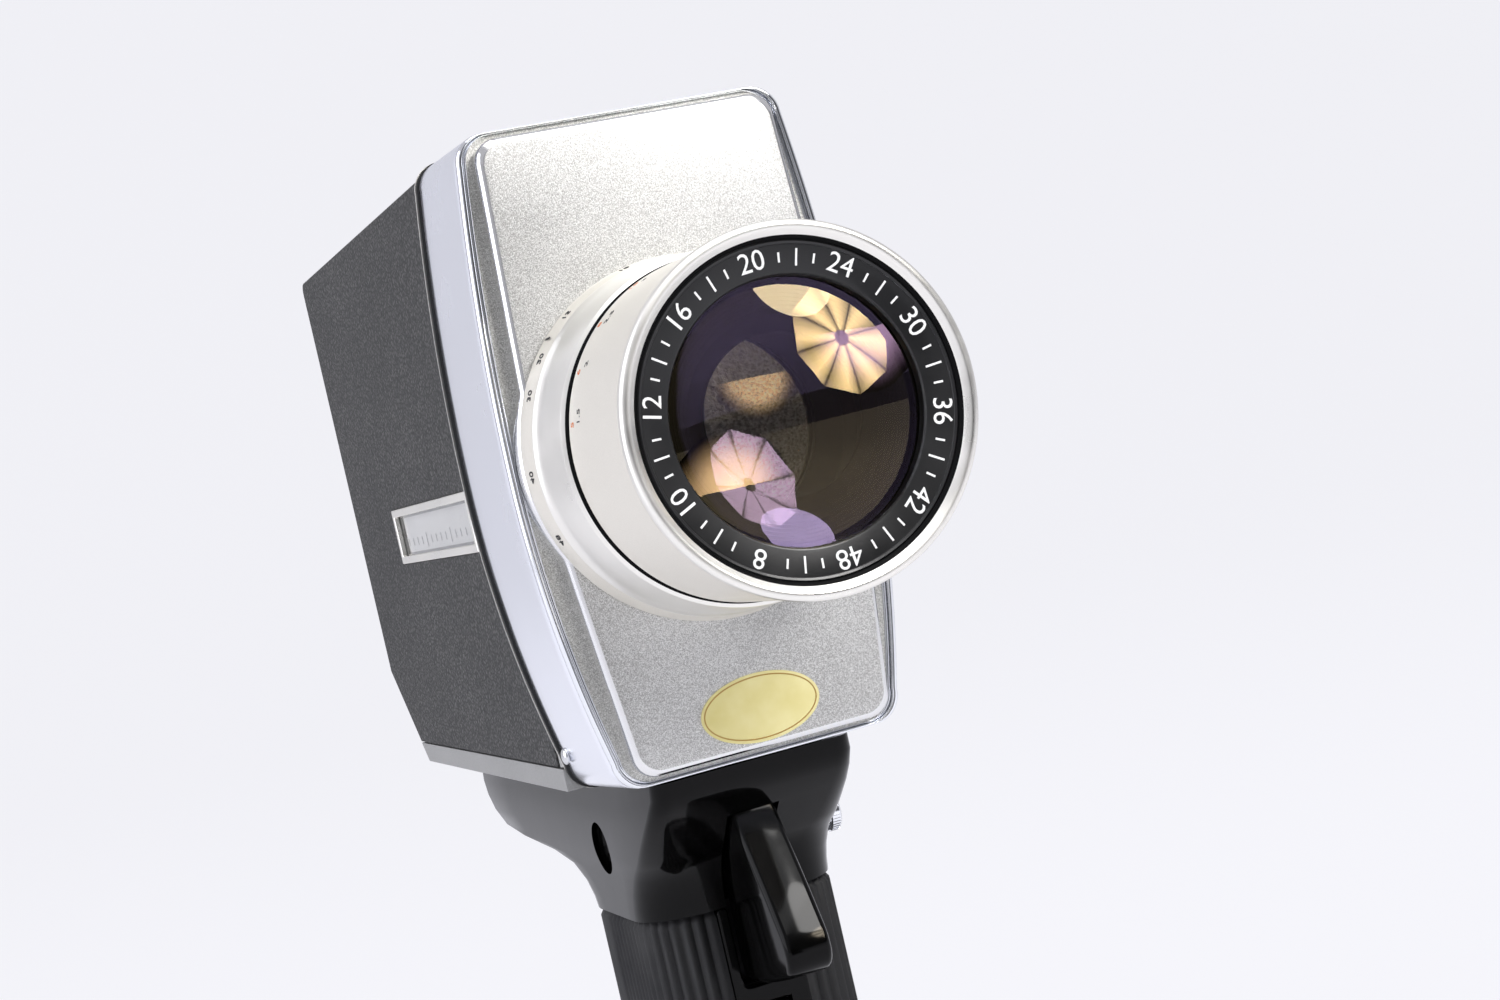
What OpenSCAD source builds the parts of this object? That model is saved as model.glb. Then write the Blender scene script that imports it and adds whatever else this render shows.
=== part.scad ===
// Reflex cine camera with a zoom lens, a film chamber and a pistol grip.
// Frame: +Z up, the lens looks along -Y, the film door is on the -X side.
// Origin: centre of the tripod socket's mouth, in the flat base of the grip.

/* [Body] */
// Height of the lens axis above the grip's base
lens_h = 165; // [150:1:185]
// Width over the two side coverings
body_w = 57; // [54:0.5:66]
// Body height above the lens axis
body_up = 56; // [54:0.5:62]
// Body height below the lens axis
body_down = 55.5; // [53:0.5:62]
// Distance of the body's rear wall behind the grip's axis
body_rear = 115; // [110:1:130]
// Length of the slanted lower rear corner, along Y
slant_y = 21; // [10:1:30]
// Height of the slanted lower rear corner
slant_z = 20; // [10:1:30]
// Casting wall
wall = 3; // [2.5:0.1:3.5]
// Thickness of the door and of the side cover
cover_t = 2; // [1.5:0.1:2.5]
// Thickness of the grained side covering
skin_t = 0.6; // [0.4:0.1:1]
// Height of the bare metal strip below the side coverings
strip_h = 4; // [3.5:0.5:7]
// Free space around a closed panel
panel_gap = 0.3; // [0.2:0.05:0.6]

/* [Front] */
// Distance of the face plate's front ahead of the grip's axis
face_y = 51; // [49:0.5:56]
// Half width of the face plate at its top edge
plate_top_w = 26.5; // [25:0.5:27]
// Half width of the face plate at lens height
plate_mid_w = 28.6; // [28:0.2:30]
// Half width of the face plate at its bottom edge
plate_low_w = 23.1; // [21:0.5:26]
// Height of the face plate above the lens axis
plate_up = 55.4; // [54:0.2:58]
// Height of the face plate below the lens axis
plate_down = 53.5; // [52:0.5:56]
// Thickness of the raised face plate
plate_t = 4.2; // [3:0.2:5]
// Radius of the round boss that carries the lens
boss_r = 31.1; // [30.8:0.05:31.3]
// Depth of the polished front band
band_depth = 24.8; // [22:0.2:28]
// How far the band widens from front to rear at the top and bottom
band_flare = 1.8; // [1:0.1:2.5]
// Thickness of the dark seal behind the band
seal_t = 0.8; // [0.5:0.1:1.5]

/* [Lens] */
// Outer radius of the barrel's front rim
rim_r = 28.5; // [28:0.1:29.5]
// Distance from the face plate to the front rim
lens_reach = 50; // [48:0.5:56]
// Outer radius of the zoom ring at its rear edge
zoom_r = 30.9; // [30.5:0.1:31.2]
// Length of the zoom ring
zoom_len = 19; // [17:0.5:21]
// Outer radius of the lens tube that the rings turn on
tube_r = 23; // [22.5:0.1:23.5]
// Bore radius of the lens tube
tube_bore = 20.5; // [20:0.1:20.8]
// Radius of the front glass
front_glass_r = 20.4; // [19:0.1:21.2]
// Radial running clearance of turning and sliding lens parts
run = 0.06; // [0.02:0.01:0.1]
// Width of the engraved front ring's visible face
name_ring_w = 5.2; // [4:0.1:6]

/* [Grip] */
// Width of the grip
grip_w = 38; // [36:0.5:42]
// Depth of the grip, front to back
grip_d = 44; // [42:0.5:50]
// Height of the ribbed grip
grip_h = 82; // [76:1:95]
// Corner radius of the grip
grip_r = 11; // [8:0.5:13]
// Grip wall
grip_wall = 2.4; // [2:0.1:3]
// Width of the glossy head between body and grip
head_w = 39; // [37:0.5:44]
// Distance of the head's front edge ahead of the grip's axis
head_front = 42; // [38:0.5:44]
// Distance of the head's rear end behind the grip's axis
head_rear = 90; // [70:1:100]
// Depth of the head below the body, behind the grip
head_drop = 17; // [14:0.5:20]
// Width of the trigger
trigger_w = 8.4; // [7:0.2:10]
// Clear space each side of the trigger
trigger_gap = 0.7; // [0.5:0.1:1.2]
// Thickness of the metal foot under the grip
foot_t = 5; // [4:0.5:7]
// Radius of the tripod socket's bore
tripod_r = 3.0; // [2.8:0.05:3.2]
// Depth of the tripod socket
tripod_depth = 9; // [8:0.5:10]

/* [Cells] */
// Radius of one battery cell
cell_r = 7.1; // [7:0.05:7.2]
// Length of one battery cell
cell_len = 50; // [49:0.5:50.5]

/* [Window] */
// Front end of the film window
window_y0 = 1; // [-2:1:8]
// Rear end of the film window
window_y1 = 71; // [60:1:80]
// Height of the film window
window_h = 11.6; // [9:0.2:14]
// Height of the window's centre below the lens axis
window_drop = 5.5; // [3:0.5:12]

/* [Drive] */
// Gear module
gear_m = 1; // [0.8:0.1:1.1]
// Teeth of the motor pinion
pinion_teeth = 8; // [8:4:12]
// Teeth of the shutter gear
shutter_teeth = 24; // [24:8:24]
// Radius of the shutter disc
shutter_r = 24; // [23.5:0.1:24.4]
// Radius of the motor case
motor_r = 11; // [9:0.5:11.5]
// Radius of the finder tube
finder_r = 8; // [7:0.5:8.2]

/* [Hidden] */
$fn = 64;
eps = 0.01;

// Body limits
skin_x = body_w / 2;
cover_x = skin_x - skin_t;
in_x = cover_x - cover_t;
body_top = lens_h + body_up;
body_low = lens_h - body_down;
band_front = face_y - plate_t + 1;
band_rear = band_front - band_depth;
body_front = -(band_rear - seal_t);
floor_z = body_low + wall;
strip_z = body_low + strip_h;
gate_y = 31;
gate_wall = 2;
cover_screw_r = 0.8;
chamber_x = 11;
chamber_top = lens_h + 31;
finder_z = lens_h + 43;
round_r = 2.5;

// Door hinge: a barrel of alternate knuckles along the door's front edge
hinge_pin_r = 0.7;
knuckle_r = 1.15;
knuckle_space = 0.15;
knuckles = 5;
hinge_x = -(skin_x - knuckle_r - knuckle_space);
hinge_y = body_front + knuckle_r + knuckle_space + 0.4;
door_front = hinge_y + knuckle_r + 0.2;
hinge_z0 = strip_z + panel_gap;
hinge_z1 = body_top - 1;
knuckle_h = (hinge_z1 - hinge_z0) / knuckles;
pillar_w = door_front - body_front - panel_gap;

// Underside of the band, and the top of the head that fits under it
band_low = lens_h - plate_down - 1.6 - band_flare * 0.5;
head_top = min(band_low - 0.1, body_low);

// Lens stations, as distances ahead of the grip's axis
front_h = face_y + lens_reach;
zoom_h0 = face_y + 0.3;
zoom_h1 = zoom_h0 + zoom_len;
tube_h1 = front_h - 15;
flange_h = band_front - 7;
flange_r = 27;
tube_h0 = -body_front - 2;
ring_r = rim_r - 2.9;

// Grip and head
grip_front = -grip_d / 2;
grip_back = grip_d / 2;
head_low = body_low - head_drop;
pivot_y = -(head_front - 13);
pivot_z = body_low - 5;
pin_r = 1.25;

// Shutter and motor
gear_r = gear_m * shutter_teeth / 2;
pinion_r = gear_m * pinion_teeth / 2;
shutter_z = lens_h - 21;
motor_z = shutter_z - gear_r - pinion_r - 0.15;
spindle_y = 70;
spindle_z = lens_h - 8;

// Places and sizes of the window, dials, rocker, socket, button, bezel, catch and battery door
window_z = lens_h - window_drop;
window_border = 1.6;
dial_y = 12;
dial_z = lens_h + 12;
dial_r = 11;
counter_y = 82;
counter_z = lens_h + 10;
rocker_y = 5;
rocker_z = body_top - 1.6;
slot_x = trigger_w / 2 + trigger_gap;
socket_y = -1;
socket_z = body_low - 14.5;
button_y = -11;
button_z = body_low - 18;
bezel_w = slot_x + 2.2;
bay_top = cell_len + 16;
bezel_z0 = 26;
door_w = 27;
bay_door_z0 = foot_t + 3;
bay_door_z1 = bay_top - 4;
lock_w = 6;
lock_z0 = bay_top - 13;
lock_z1 = bay_top - 3;
door_pin_y = grip_back - 2.1;
door_pin_z = bay_door_z0 + 1.4;

// Distances ahead of the grip's axis of the two moving cells and the iris, and the vane's height
variator_h = 66;
compensator_h = 44;
iris_h = tube_h0 - 7;
vane_z = lens_h + 16;

// ---- shared shapes ----

// Half width of a face outline at height z
function face_w(z, wt, wm, wb, zt, zb, p) =
    z > 0 ? wm + (wt - wm) * pow(z / zt, p) : wm + (wb - wm) * pow(z / zb, p);

// Right-hand half of a face outline, from its bottom edge to its top edge
function face_half(wt, wm, wb, zt, zb, p, r) = let(steps = 14, turns = 4,
    z0 = zb + r, z1 = zt - r,
    x0 = face_w(z0, wt, wm, wb, zt, zb, p), x1 = face_w(z1, wt, wm, wb, zt, zb, p)) concat(
    [for (i = [0:turns - 1]) let(a = -90 + 90 * i / turns) [x0 - r + r * cos(a), z0 + r * sin(a)]],
    [for (i = [0:steps]) let(z = z0 + (z1 - z0) * i / steps) [face_w(z, wt, wm, wb, zt, zb, p), z]],
    [for (i = [1:turns]) let(a = 90 * i / turns) [x1 - r + r * cos(a), z1 + r * sin(a)]]);

module face_outline(wt, wm, wb, zt, zb, p, r) {
    half = face_half(wt, wm, wb, zt, zb, p, r);
    last = len(half) - 1;
    polygon(concat(half, [for (i = [0:last]) [-half[last - i][0], half[last - i][1]]]));
}

// Outline of the face plate, and of the band grown outward by d
module plate_outline() {
    face_outline(plate_top_w, plate_mid_w, plate_low_w, plate_up, -plate_down, 1.12, 4);
}
module band_outline(d) {
    face_outline(plate_top_w + 2 + d, plate_mid_w + 3.8 + d * 1.15, plate_low_w + 2 + d,
        plate_up + 1.5 + d * 0.2, -plate_down - 1.6 - d * 0.5, 2, 5);
}

// Extrudes a face outline between two distances ahead of the grip's axis
module ahead(h0, h1) {
    translate([0, -h0, lens_h])
        rotate([90, 0, 0])
            linear_extrude(h1 - h0)
                children();
}

// Turns a profile of radius and distance ahead about the lens axis
module about_lens(x = 0, z = lens_h) {
    translate([x, 0, z])
        rotate([90, 0, 0])
            children();
}
module lens_part(profile) {
    about_lens()
        rotate_extrude($fn = 96)
            polygon(profile);
}
module rod_y(r, y0, y1, x = 0, z = lens_h) {
    translate([x, y1, z])
        rotate([90, 0, 0])
            cylinder(r = r, h = y1 - y0);
}
module rod_x(r, x0, x1, y, z) {
    translate([x0, y, z])
        rotate([0, 90, 0])
            cylinder(r = r, h = x1 - x0);
}
module block(p0, p1) {
    translate(p0)
        cube(p1 - p0);
}

// Extrudes a side profile, drawn in Y and Z, between two X places
module across(x0, x1) {
    translate([x0, 0, 0])
        rotate([90, 0, 90])
            linear_extrude(x1 - x0)
                children();
}

// Side view of the body, with its slanted lower rear corner
module body_profile(inset = 0, low = body_low) {
    r = round_r;
    back = body_rear - inset;
    top = body_top - inset;
    polygon(concat(
        [[body_front, low], [body_rear - slant_y - inset / 2, low], [back, body_low + slant_z + inset / 2]],
        [for (i = [0:4]) let(a = 90 * i / 4) [back - r + r * cos(a), top - r + r * sin(a)]],
        [[body_front, top]]));
}

// Side view of a panel that closes one side of the body
module panel_profile(front, inset) {
    intersection() {
        body_profile(inset);
        translate([front, strip_z + panel_gap])
            square([body_rear - front, body_top]);
    }
}

// Rounded rectangle centred on the axis, for the grip
module grip_outline(inset) {
    r = grip_r - inset;
    x = grip_w / 2 - grip_r;
    y = grip_d / 2 - grip_r;
    polygon([for (c = [[1, 1, 0], [-1, 1, 90], [-1, -1, 180], [1, -1, 270]], i = [0:8])
        let(a = c[2] + 90 * i / 8) [c[0] * x + r * cos(a), c[1] * y + r * sin(a)]]);
}

// Straight-sided gear with its tooth gaps wider than its teeth
module gear(teeth, thick, bore, phase = 0) {
    pitch = 360 / teeth;
    root = gear_m * (teeth / 2 - 1.15);
    tip = gear_m * (teeth / 2 + 0.75);
    linear_extrude(thick)
        difference() {
            polygon([for (k = [0:teeth - 1], p = [[-0.30, root], [-0.12, tip], [0.12, tip], [0.30, root]])
                let(a = phase + (k + p[0]) * pitch) [p[1] * cos(a), p[1] * sin(a)]]);
            circle(r = bore);
        }
}

// ---- body ----

module body_shell() {
    color("#a9acb0")
        difference() {
            union() {
                body_casting();
                for (k = [0:2:knuckles - 1])
                    casting_knuckle(hinge_z0 + k * knuckle_h);
                motor_saddle();
            }
            hinge_bore();
            rod_y(motor_r + 0.05, -14, gate_y - 8, 0, motor_z);
        }
}

module hinge_bore() {
    translate([hinge_x, hinge_y, hinge_z0 - 0.5])
        cylinder(r = hinge_pin_r + run, h = hinge_z1 - hinge_z0 + 1);
}

// Walls, roof and floor of the casting, with the film chamber and the drive space
module body_casting() {
    difference() {
        union() {
            across(-in_x, in_x) body_profile();
            // bare strip below both sides, and the pillar in front of the side cover
            across(-skin_x, skin_x)
                intersection() {
                    body_profile();
                    translate([body_front, body_low]) square([2 * body_rear, strip_h]);
                }
            across(in_x - 1, skin_x)
                intersection() {
                    body_profile();
                    translate([body_front, body_low]) square([pillar_w, body_top]);
                }
        }
        // front compartment for the optics, the motor and the shutter
        block([-in_x, body_front + wall, floor_z], [in_x, gate_y, body_top - wall]);
        // film chamber, open towards the door
        chamber(-in_x - 1, chamber_x);
        // drive space, open towards the side cover
        chamber(chamber_x + 2, in_x + 1);
        // finder passage above the film chamber
        block([-in_x - 1, gate_y + gate_wall, chamber_top + 2],
            [in_x + 1, body_rear - wall, body_top - wall]);
        // the front compartment is open to both sides
        block([-in_x - 1, body_front + wall, strip_z], [in_x - eps, gate_y, body_top - wall]);
        block([in_x - 1 - eps, door_front, strip_z], [in_x + eps, gate_y, body_top - wall]);
        lens_opening();
        rod_y(finder_r + 0.1, gate_y - 1, body_rear + 1, 0, finder_z);
        // film aperture, the spindle's bearing and the shutter's bearing
        block([-3, gate_y - 1, lens_h - 2.2], [3, gate_y + gate_wall + 1, lens_h + 2.2]);
        rod_x(2 + run, chamber_x - 1, chamber_x + 3, spindle_y, spindle_z);
        rod_y(1.5 + run, gate_y - 1, gate_y + gate_wall + 1, 0, shutter_z);
        // pocket for the latch in the rear wall, and its slot
        block([-in_x - 1, body_rear - wall - 1, lens_h - 8 - panel_gap],
            [-in_x + 5.3, body_rear - 1.2, lens_h + 12]);
        block([-in_x + 1.2, body_rear - 2, lens_h - 4], [-in_x + 4.8, body_rear + 1, lens_h + 7]);
        // opening in the roof for the rocker, and its bearings
        block([-4.8, -6.3, body_top - wall - 1], [4.8, 16.3, body_top + 1]);
        rod_x(1 + run, -7, 7, rocker_y, rocker_z);
        screw_holes();
    }
}

module chamber(x0, x1) {
    across(x0, x1)
        intersection() {
            body_profile(wall, floor_z);
            translate([gate_y + gate_wall, floor_z]) square([body_rear, chamber_top - floor_z]);
        }
}

// One knuckle of the casting, with the web that joins it to the front wall
module casting_knuckle(z) {
    h = knuckle_h - panel_gap;
    translate([hinge_x, hinge_y, z]) cylinder(r = knuckle_r, h = h);
    block([hinge_x, hinge_y - knuckle_r, z], [-in_x + 0.5, hinge_y + 0.6, z + h]);
}

module motor_saddle() {
    block([-8, -12, floor_z - 1], [8, 8, motor_z - motor_r * 0.75]);
}

module lens_opening() {
    rod_y(24.5, body_front - 1, body_front + wall + 1);
}

module screw_holes() {
    for (p = cover_screw_places())
        rod_x(cover_screw_r, in_x - 5, in_x + 1, p[0], p[1]);
}
function cover_screw_places() = [[gate_y + 1, strip_z + 4], [gate_y + 1, body_top - 8],
    [body_rear - 1.5, lens_h - 24], [body_rear - 1.5, body_top - 8]];

module side_cover() {
    color("#9da0a4")
        difference() {
            across(in_x, cover_x) panel_profile(door_front, 0.2);
            rod_x(2.5 + run, in_x - 1, cover_x + 1, dial_y, dial_z);
            rod_x(9, in_x - 1, cover_x + 1, counter_y, counter_z);
            for (p = cover_screw_places())
                rod_x(cover_screw_r, in_x - 1, cover_x + 1, p[0], p[1]);
        }
}

module side_cover_skin() {
    color("#2b2b2c")
        difference() {
            across(cover_x, skin_x) panel_profile(door_front, 0.2);
            rod_x(4, cover_x - 1, skin_x + 1, dial_y, dial_z);
            rod_x(9, cover_x - 1, skin_x + 1, counter_y, counter_z);
            for (p = cover_screw_places())
                rod_x(2, cover_x - 1, skin_x + 1, p[0], p[1]);
        }
}

module window_cut(grow) {
    block([-skin_x - 1, window_y0 - grow, window_z - window_h / 2 - grow],
        [-in_x + 1, window_y1 + grow, window_z + window_h / 2 + grow]);
}

module film_door() {
    color("#9da0a4")
        difference() {
            union() {
                across(-cover_x, -in_x) panel_profile(door_front, 0.2);
                for (k = [1:2:knuckles - 1])
                    door_knuckle(hinge_z0 + k * knuckle_h);
                // catch that the latch holds
                block([-in_x - eps, body_rear - wall - 4, lens_h - 6],
                    [-in_x + 3, body_rear - wall - 2.5, lens_h + 2]);
            }
            window_cut(-window_border);
            hinge_bore();
        }
}

module door_knuckle(z) {
    h = knuckle_h - panel_gap;
    translate([hinge_x, hinge_y, z]) cylinder(r = knuckle_r, h = h);
    block([-cover_x, hinge_y, z], [hinge_x + 0.6, door_front + 1, z + h]);
}

module film_door_skin() {
    color("#2b2b2c")
        difference() {
            across(-skin_x, -cover_x) panel_profile(door_front, 0.2);
            window_cut(0);
        }
}

module door_hinge_pin() {
    color("#c8c8c8")
        translate([hinge_x, hinge_y, hinge_z0]) cylinder(r = hinge_pin_r, h = hinge_z1 - hinge_z0);
}

module door_latch() {
    color("#8f9296") {
        block([-in_x + 0.3, body_rear - wall - 0.7, lens_h - 8],
            [-in_x + 5, body_rear - 1.5, lens_h + 7]);
        block([-in_x + 1.5, body_rear - 1.5 - eps, lens_h - 3.5],
            [-in_x + 4.5, body_rear + 1.2, lens_h + 2.5]);
    }
}

module window_frame() {
    color("#c9cacc")
        difference() {
            block([-skin_x - 0.5, window_y0, window_z - window_h / 2],
                [-cover_x, window_y1, window_z + window_h / 2]);
            window_cut(-window_border);
        }
}

module window_glass() {
    b = window_border;
    color([0.9, 0.93, 0.95, 0.35])
        block([-cover_x, window_y0 + b, window_z - window_h / 2 + b],
            [-cover_x + 0.8, window_y1 - b, window_z + window_h / 2 - b]);
}

module window_card() {
    b = window_border;
    color("#e9e9e6")
        block([-cover_x + 1.3, window_y0 + b, window_z - window_h / 2 + b],
            [-in_x, window_y1 - b, window_z + window_h / 2 - b]);
}

// ---- front ----

module front_band() {
    color("#d5d8df")
        difference() {
            hull() {
                ahead(band_front - 0.5, band_front) band_outline(-0.3);
                ahead(band_front - 3, band_front - 1) band_outline(0.1);
                ahead(band_rear, band_rear + 1) band_outline(band_flare);
            }
            ahead(band_rear - 1, band_front + 1) band_outline(-0.9);
        }
}

module band_seal() {
    color("#151515")
        difference() {
            ahead(band_rear - seal_t, band_rear) band_outline(band_flare - 0.9);
            ahead(band_rear - seal_t - 1, band_rear + 1) band_outline(-4.1);
        }
}

module front_panel() {
    color("#b9bab6")
        difference() {
            ahead(band_front - 3, band_front - 1) band_outline(-1);
            ahead(band_front - 4, band_front) circle(r = tube_r + 1);
        }
}

module front_frame() {
    color("#6f7275")
        difference() {
            ahead(band_rear, band_front - 3) band_outline(-1);
            ahead(band_rear - 1, flange_h) band_outline(-4);
            ahead(flange_h - 1, band_front) circle(r = tube_r + 0.2);
        }
}

module face_plate() {
    color("#d8d8d5")
        difference() {
            union() {
                ahead(band_front - 1, face_y) plate_outline();
                ahead(band_front - 1, face_y) circle(r = boss_r);
            }
            ahead(band_front - 2, face_y + 1) circle(r = tube_r + 0.2);
        }
}

module oval_label() {
    rx = 10.8;
    rz = 5.8;
    color("#e2d79b")
        ahead(face_y, face_y + 0.2)
            polygon([for (i = [0:35]) [rx * cos(10 * i), -46.6 + rz * sin(10 * i)]]);
}

// ---- lens ----

module lens_tube() {
    color("#2a2a2a")
        lens_part([[tube_bore, tube_h0], [tube_r, tube_h0], [tube_r, flange_h - 3], [flange_r, flange_h - 3],
            [flange_r, flange_h], [tube_r, flange_h], [tube_r, tube_h1], [tube_bore, tube_h1]]);
}

module zoom_ring() {
    color("#d9d9d4")
        difference() {
            lens_part([[tube_r + run, zoom_h0], [zoom_r - 0.5, zoom_h0], [zoom_r, zoom_h0 + 0.5],
                [zoom_r, zoom_h0 + 1], [zoom_r - 0.7, zoom_h0 + 6.2], [zoom_r - 1.9, zoom_h1 - 1],
                [zoom_r - 2.4, zoom_h1], [tube_r + run, zoom_h1]]);
            about_lens() rotate([0, 0, 60]) translate([zoom_r - 4, 0, zoom_h0 + 8])
                rotate([0, 90, 0]) cylinder(r = 1.5, h = 6);
        }
}

module zoom_lever() {
    color("#bfc0be")
        about_lens() rotate([0, 0, 60]) {
            translate([zoom_r - 4, 0, zoom_h0 + 8]) rotate([0, 90, 0]) cylinder(r = 1.5, h = 7);
            translate([zoom_r + 1.2, 0, zoom_h0 + 8]) rotate([0, 90, 0]) cylinder(r = 2.6, h = 3);
        }
}

module focus_barrel() {
    h0 = zoom_h1 + 0.7;
    color("#dcdad6")
        lens_part([[tube_r + run, h0], [rim_r - 0.9, h0], [rim_r - 0.4, h0 + 0.6], [rim_r - 0.4, front_h - 3],
            [rim_r, front_h - 1.6], [rim_r, front_h - 0.6], [rim_r - 0.6, front_h], [rim_r - 1.6, front_h],
            [ring_r, front_h - 1.2], [ring_r, front_h - 12], [tube_r + run, front_h - 12]]);
}

module front_cell() {
    color("#141414")
        lens_part([[12, front_h - 12], [ring_r, front_h - 12], [ring_r, front_h - 4.5],
            [front_glass_r, front_h - 4.5], [front_glass_r, front_h - 9], [15.5, front_h - 9],
            [14.5, front_h - 10.5], [12, front_h - 10.5]]);
}

module front_ring() {
    color("#161616")
        lens_part([[ring_r - name_ring_w, front_h - 4.5], [ring_r, front_h - 4.5], [ring_r, front_h - 1.5],
            [ring_r - name_ring_w, front_h - 2.3]]);
}

// Lens element with two spherical faces, drawn as its half section
function cap(r, rise, n) = let(R = (r * r + rise * rise) / (2 * rise))
    [for (i = [0:n]) let(a = asin(r / R) * i / n) [R * sin(a), R * cos(a) - (R - rise)]];
module element(r, base, edge, rise_front, rise_rear) {
    front = cap(r, rise_front, 10);
    rear = cap(r, rise_rear, 6);
    lens_part(concat([for (p = front) [p[0], base + edge + p[1]]],
        [for (i = [6:-1:0]) [rear[i][0], base - rear[i][1]]]));
}

module front_glass() {
    color([0.25, 0.2, 0.35, 0.4])
        element(front_glass_r - 0.02, front_h - 7.4, 3, 3.0, 1.2);
}

module moving_cell(h) {
    lens_part([[11.5, h], [tube_bore - run, h], [tube_bore - run, h + 7], [16, h + 7], [15, h + 5],
        [11.5, h + 5]]);
}
module variator_cell() { color("#1b1b1b") moving_cell(variator_h); }
module compensator_cell() { color("#1b1b1b") moving_cell(compensator_h); }
module variator_glass() {
    color([0.5, 0.45, 0.55, 0.4]) element(11.48, variator_h + 1, 3, 1.2, 0.8);
}
module compensator_glass() {
    color([0.5, 0.45, 0.55, 0.4]) element(11.48, compensator_h + 1, 3, 1.2, 0.8);
}

module iris_housing() {
    color("#232323")
        difference() {
            lens_part([[7, iris_h], [22, iris_h], [22, tube_h0 - 0.05], [7, tube_h0 - 0.05]]);
            rod_y(21, -(iris_h + 4.6), -(iris_h + 2.4));
            rod_y(1.5 + run, -(iris_h + 8), -(iris_h - 1), 0, vane_z);
        }
}

module aperture_vane() {
    color("#3a3a3a") {
        difference() {
            rod_y(11, -(iris_h + 3.9), -(iris_h + 3.1), 6, lens_h + 4);
            rod_y(5, -(iris_h + 5), -(iris_h + 2), 1.5, lens_h);
        }
        rod_y(1.5, -(iris_h + 6.5), -(iris_h + 0.5), 0, vane_z);
        block([-1.4, -(iris_h + 3.9), lens_h + 9], [3, -(iris_h + 3.1), vane_z]);
    }
}

module reflex_prism() {
    y0 = -iris_h + 0.5;
    color([0.7, 0.8, 0.85, 0.4])
        block([-6, y0, lens_h - 6], [6, y0 + 12, lens_h + 6]);
}

module relay_lens_tube() {
    color("#2a2a2a")
        difference() {
            rod_y(9, -iris_h + 12.5, 20);
            rod_y(6.5, -iris_h + 12, 21);
        }
}

module finder_column() {
    y = -iris_h + 6.5;
    color("#202020")
        difference() {
            union() {
                translate([0, y, lens_h + 6]) cylinder(r = 5.8, h = finder_z - lens_h - 8 - finder_r + 2);
                block([-6, y - 6, finder_z - finder_r], [6, y + 6, finder_z + finder_r - 1]);
            }
            translate([0, y, lens_h]) cylinder(r = 4, h = 40);
        }
}

module finder_tube() {
    color("#1c1c1c")
        difference() {
            rod_y(finder_r, -iris_h + 12.5, body_rear + 13, 0, finder_z);
            rod_y(finder_r - 1.4, -iris_h + 12, body_rear + 14, 0, finder_z);
        }
}

module eyepiece_glass() {
    color([0.6, 0.7, 0.75, 0.4])
        rod_y(finder_r - 1.42, body_rear + 6, body_rear + 9, 0, finder_z);
}

module dioptre_ring() {
    color("#1a1a1a")
        difference() {
            rod_y(12, body_rear + 0.4, body_rear + 6, 0, finder_z);
            rod_y(finder_r + run, body_rear - 1, body_rear + 7, 0, finder_z);
            for (i = [0:23])
                translate([0, 0, finder_z]) rotate([0, 15 * i, 0])
                    translate([-0.5, body_rear, 11.4]) cube([1, 7, 2]);
        }
}

module eyecup() {
    color("#101010")
        translate([0, body_rear + 6.5, finder_z]) rotate([-90, 0, 0]) rotate_extrude()
            polygon([[finder_r, 0], [12.6, 0], [13.4, 2], [13, 5], [14.2, 9], [13.6, 9.8], [11.6, 9],
                [10.4, 6.5], [finder_r, 6.5]]);
}

// ---- film transport and drive ----

module film_gate() {
    color("#b8bab8")
        difference() {
            block([-11, gate_y - 1.5, lens_h - 14], [9, gate_y, lens_h + 14]);
            block([-2.9, gate_y - 3, lens_h - 2.1], [2.9, gate_y + 1, lens_h + 2.1]);
            block([-6.6, gate_y - 3, lens_h - 9], [-4.9, gate_y + 1, lens_h - 1]);
        }
}

module pulldown_claw() {
    color("#a8aaa8") {
        block([-9.5, gate_y - 3.3, lens_h - 20], [-4.5, gate_y - 2.2, lens_h - 2.8]);
        block([-6.3, gate_y - 2.3, lens_h - 3.9], [-5.2, gate_y - 0.8, lens_h - 2.9]);
    }
}

module shutter_disc() {
    color("#2e2e2e") {
        difference() {
            rod_y(shutter_r, 25.4, 26, 0, shutter_z);
            // open sector that lets the light through
            translate([0, 25, shutter_z]) rotate([-90, 0, 0]) linear_extrude(2)
                polygon([[4 * cos(200), 4 * sin(200)], [40 * cos(200), 40 * sin(200)],
                    [40 * cos(270), 60 * sin(270)], [40 * cos(340), 40 * sin(340)],
                    [4 * cos(340), 4 * sin(340)]]);
        }
        rod_y(1.5, 20.5, gate_y + gate_wall - 0.4, 0, shutter_z);
        translate([0, 24, shutter_z]) rotate([90, 0, 0]) gear(shutter_teeth, 2.4, 1.4, 180 / shutter_teeth);
        rod_y(3, 23.9, 25.5, 0, shutter_z);
    }
}

module drive_motor() {
    color("#8c8f92") {
        difference() {
            rod_y(motor_r, -14, 19.4, 0, motor_z);
            rod_y(1 + run, -13, 20, 0, motor_z);
        }
        rod_y(4, -15.5, -13.9, 0, motor_z);
    }
}

module motor_pinion() {
    color("#c9a65a") {
        translate([0, 24.2, motor_z]) rotate([90, 0, 0]) gear(pinion_teeth, 3, 0.9, 90);
        rod_y(1, 12, 24.2, 0, motor_z);
    }
}

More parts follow.
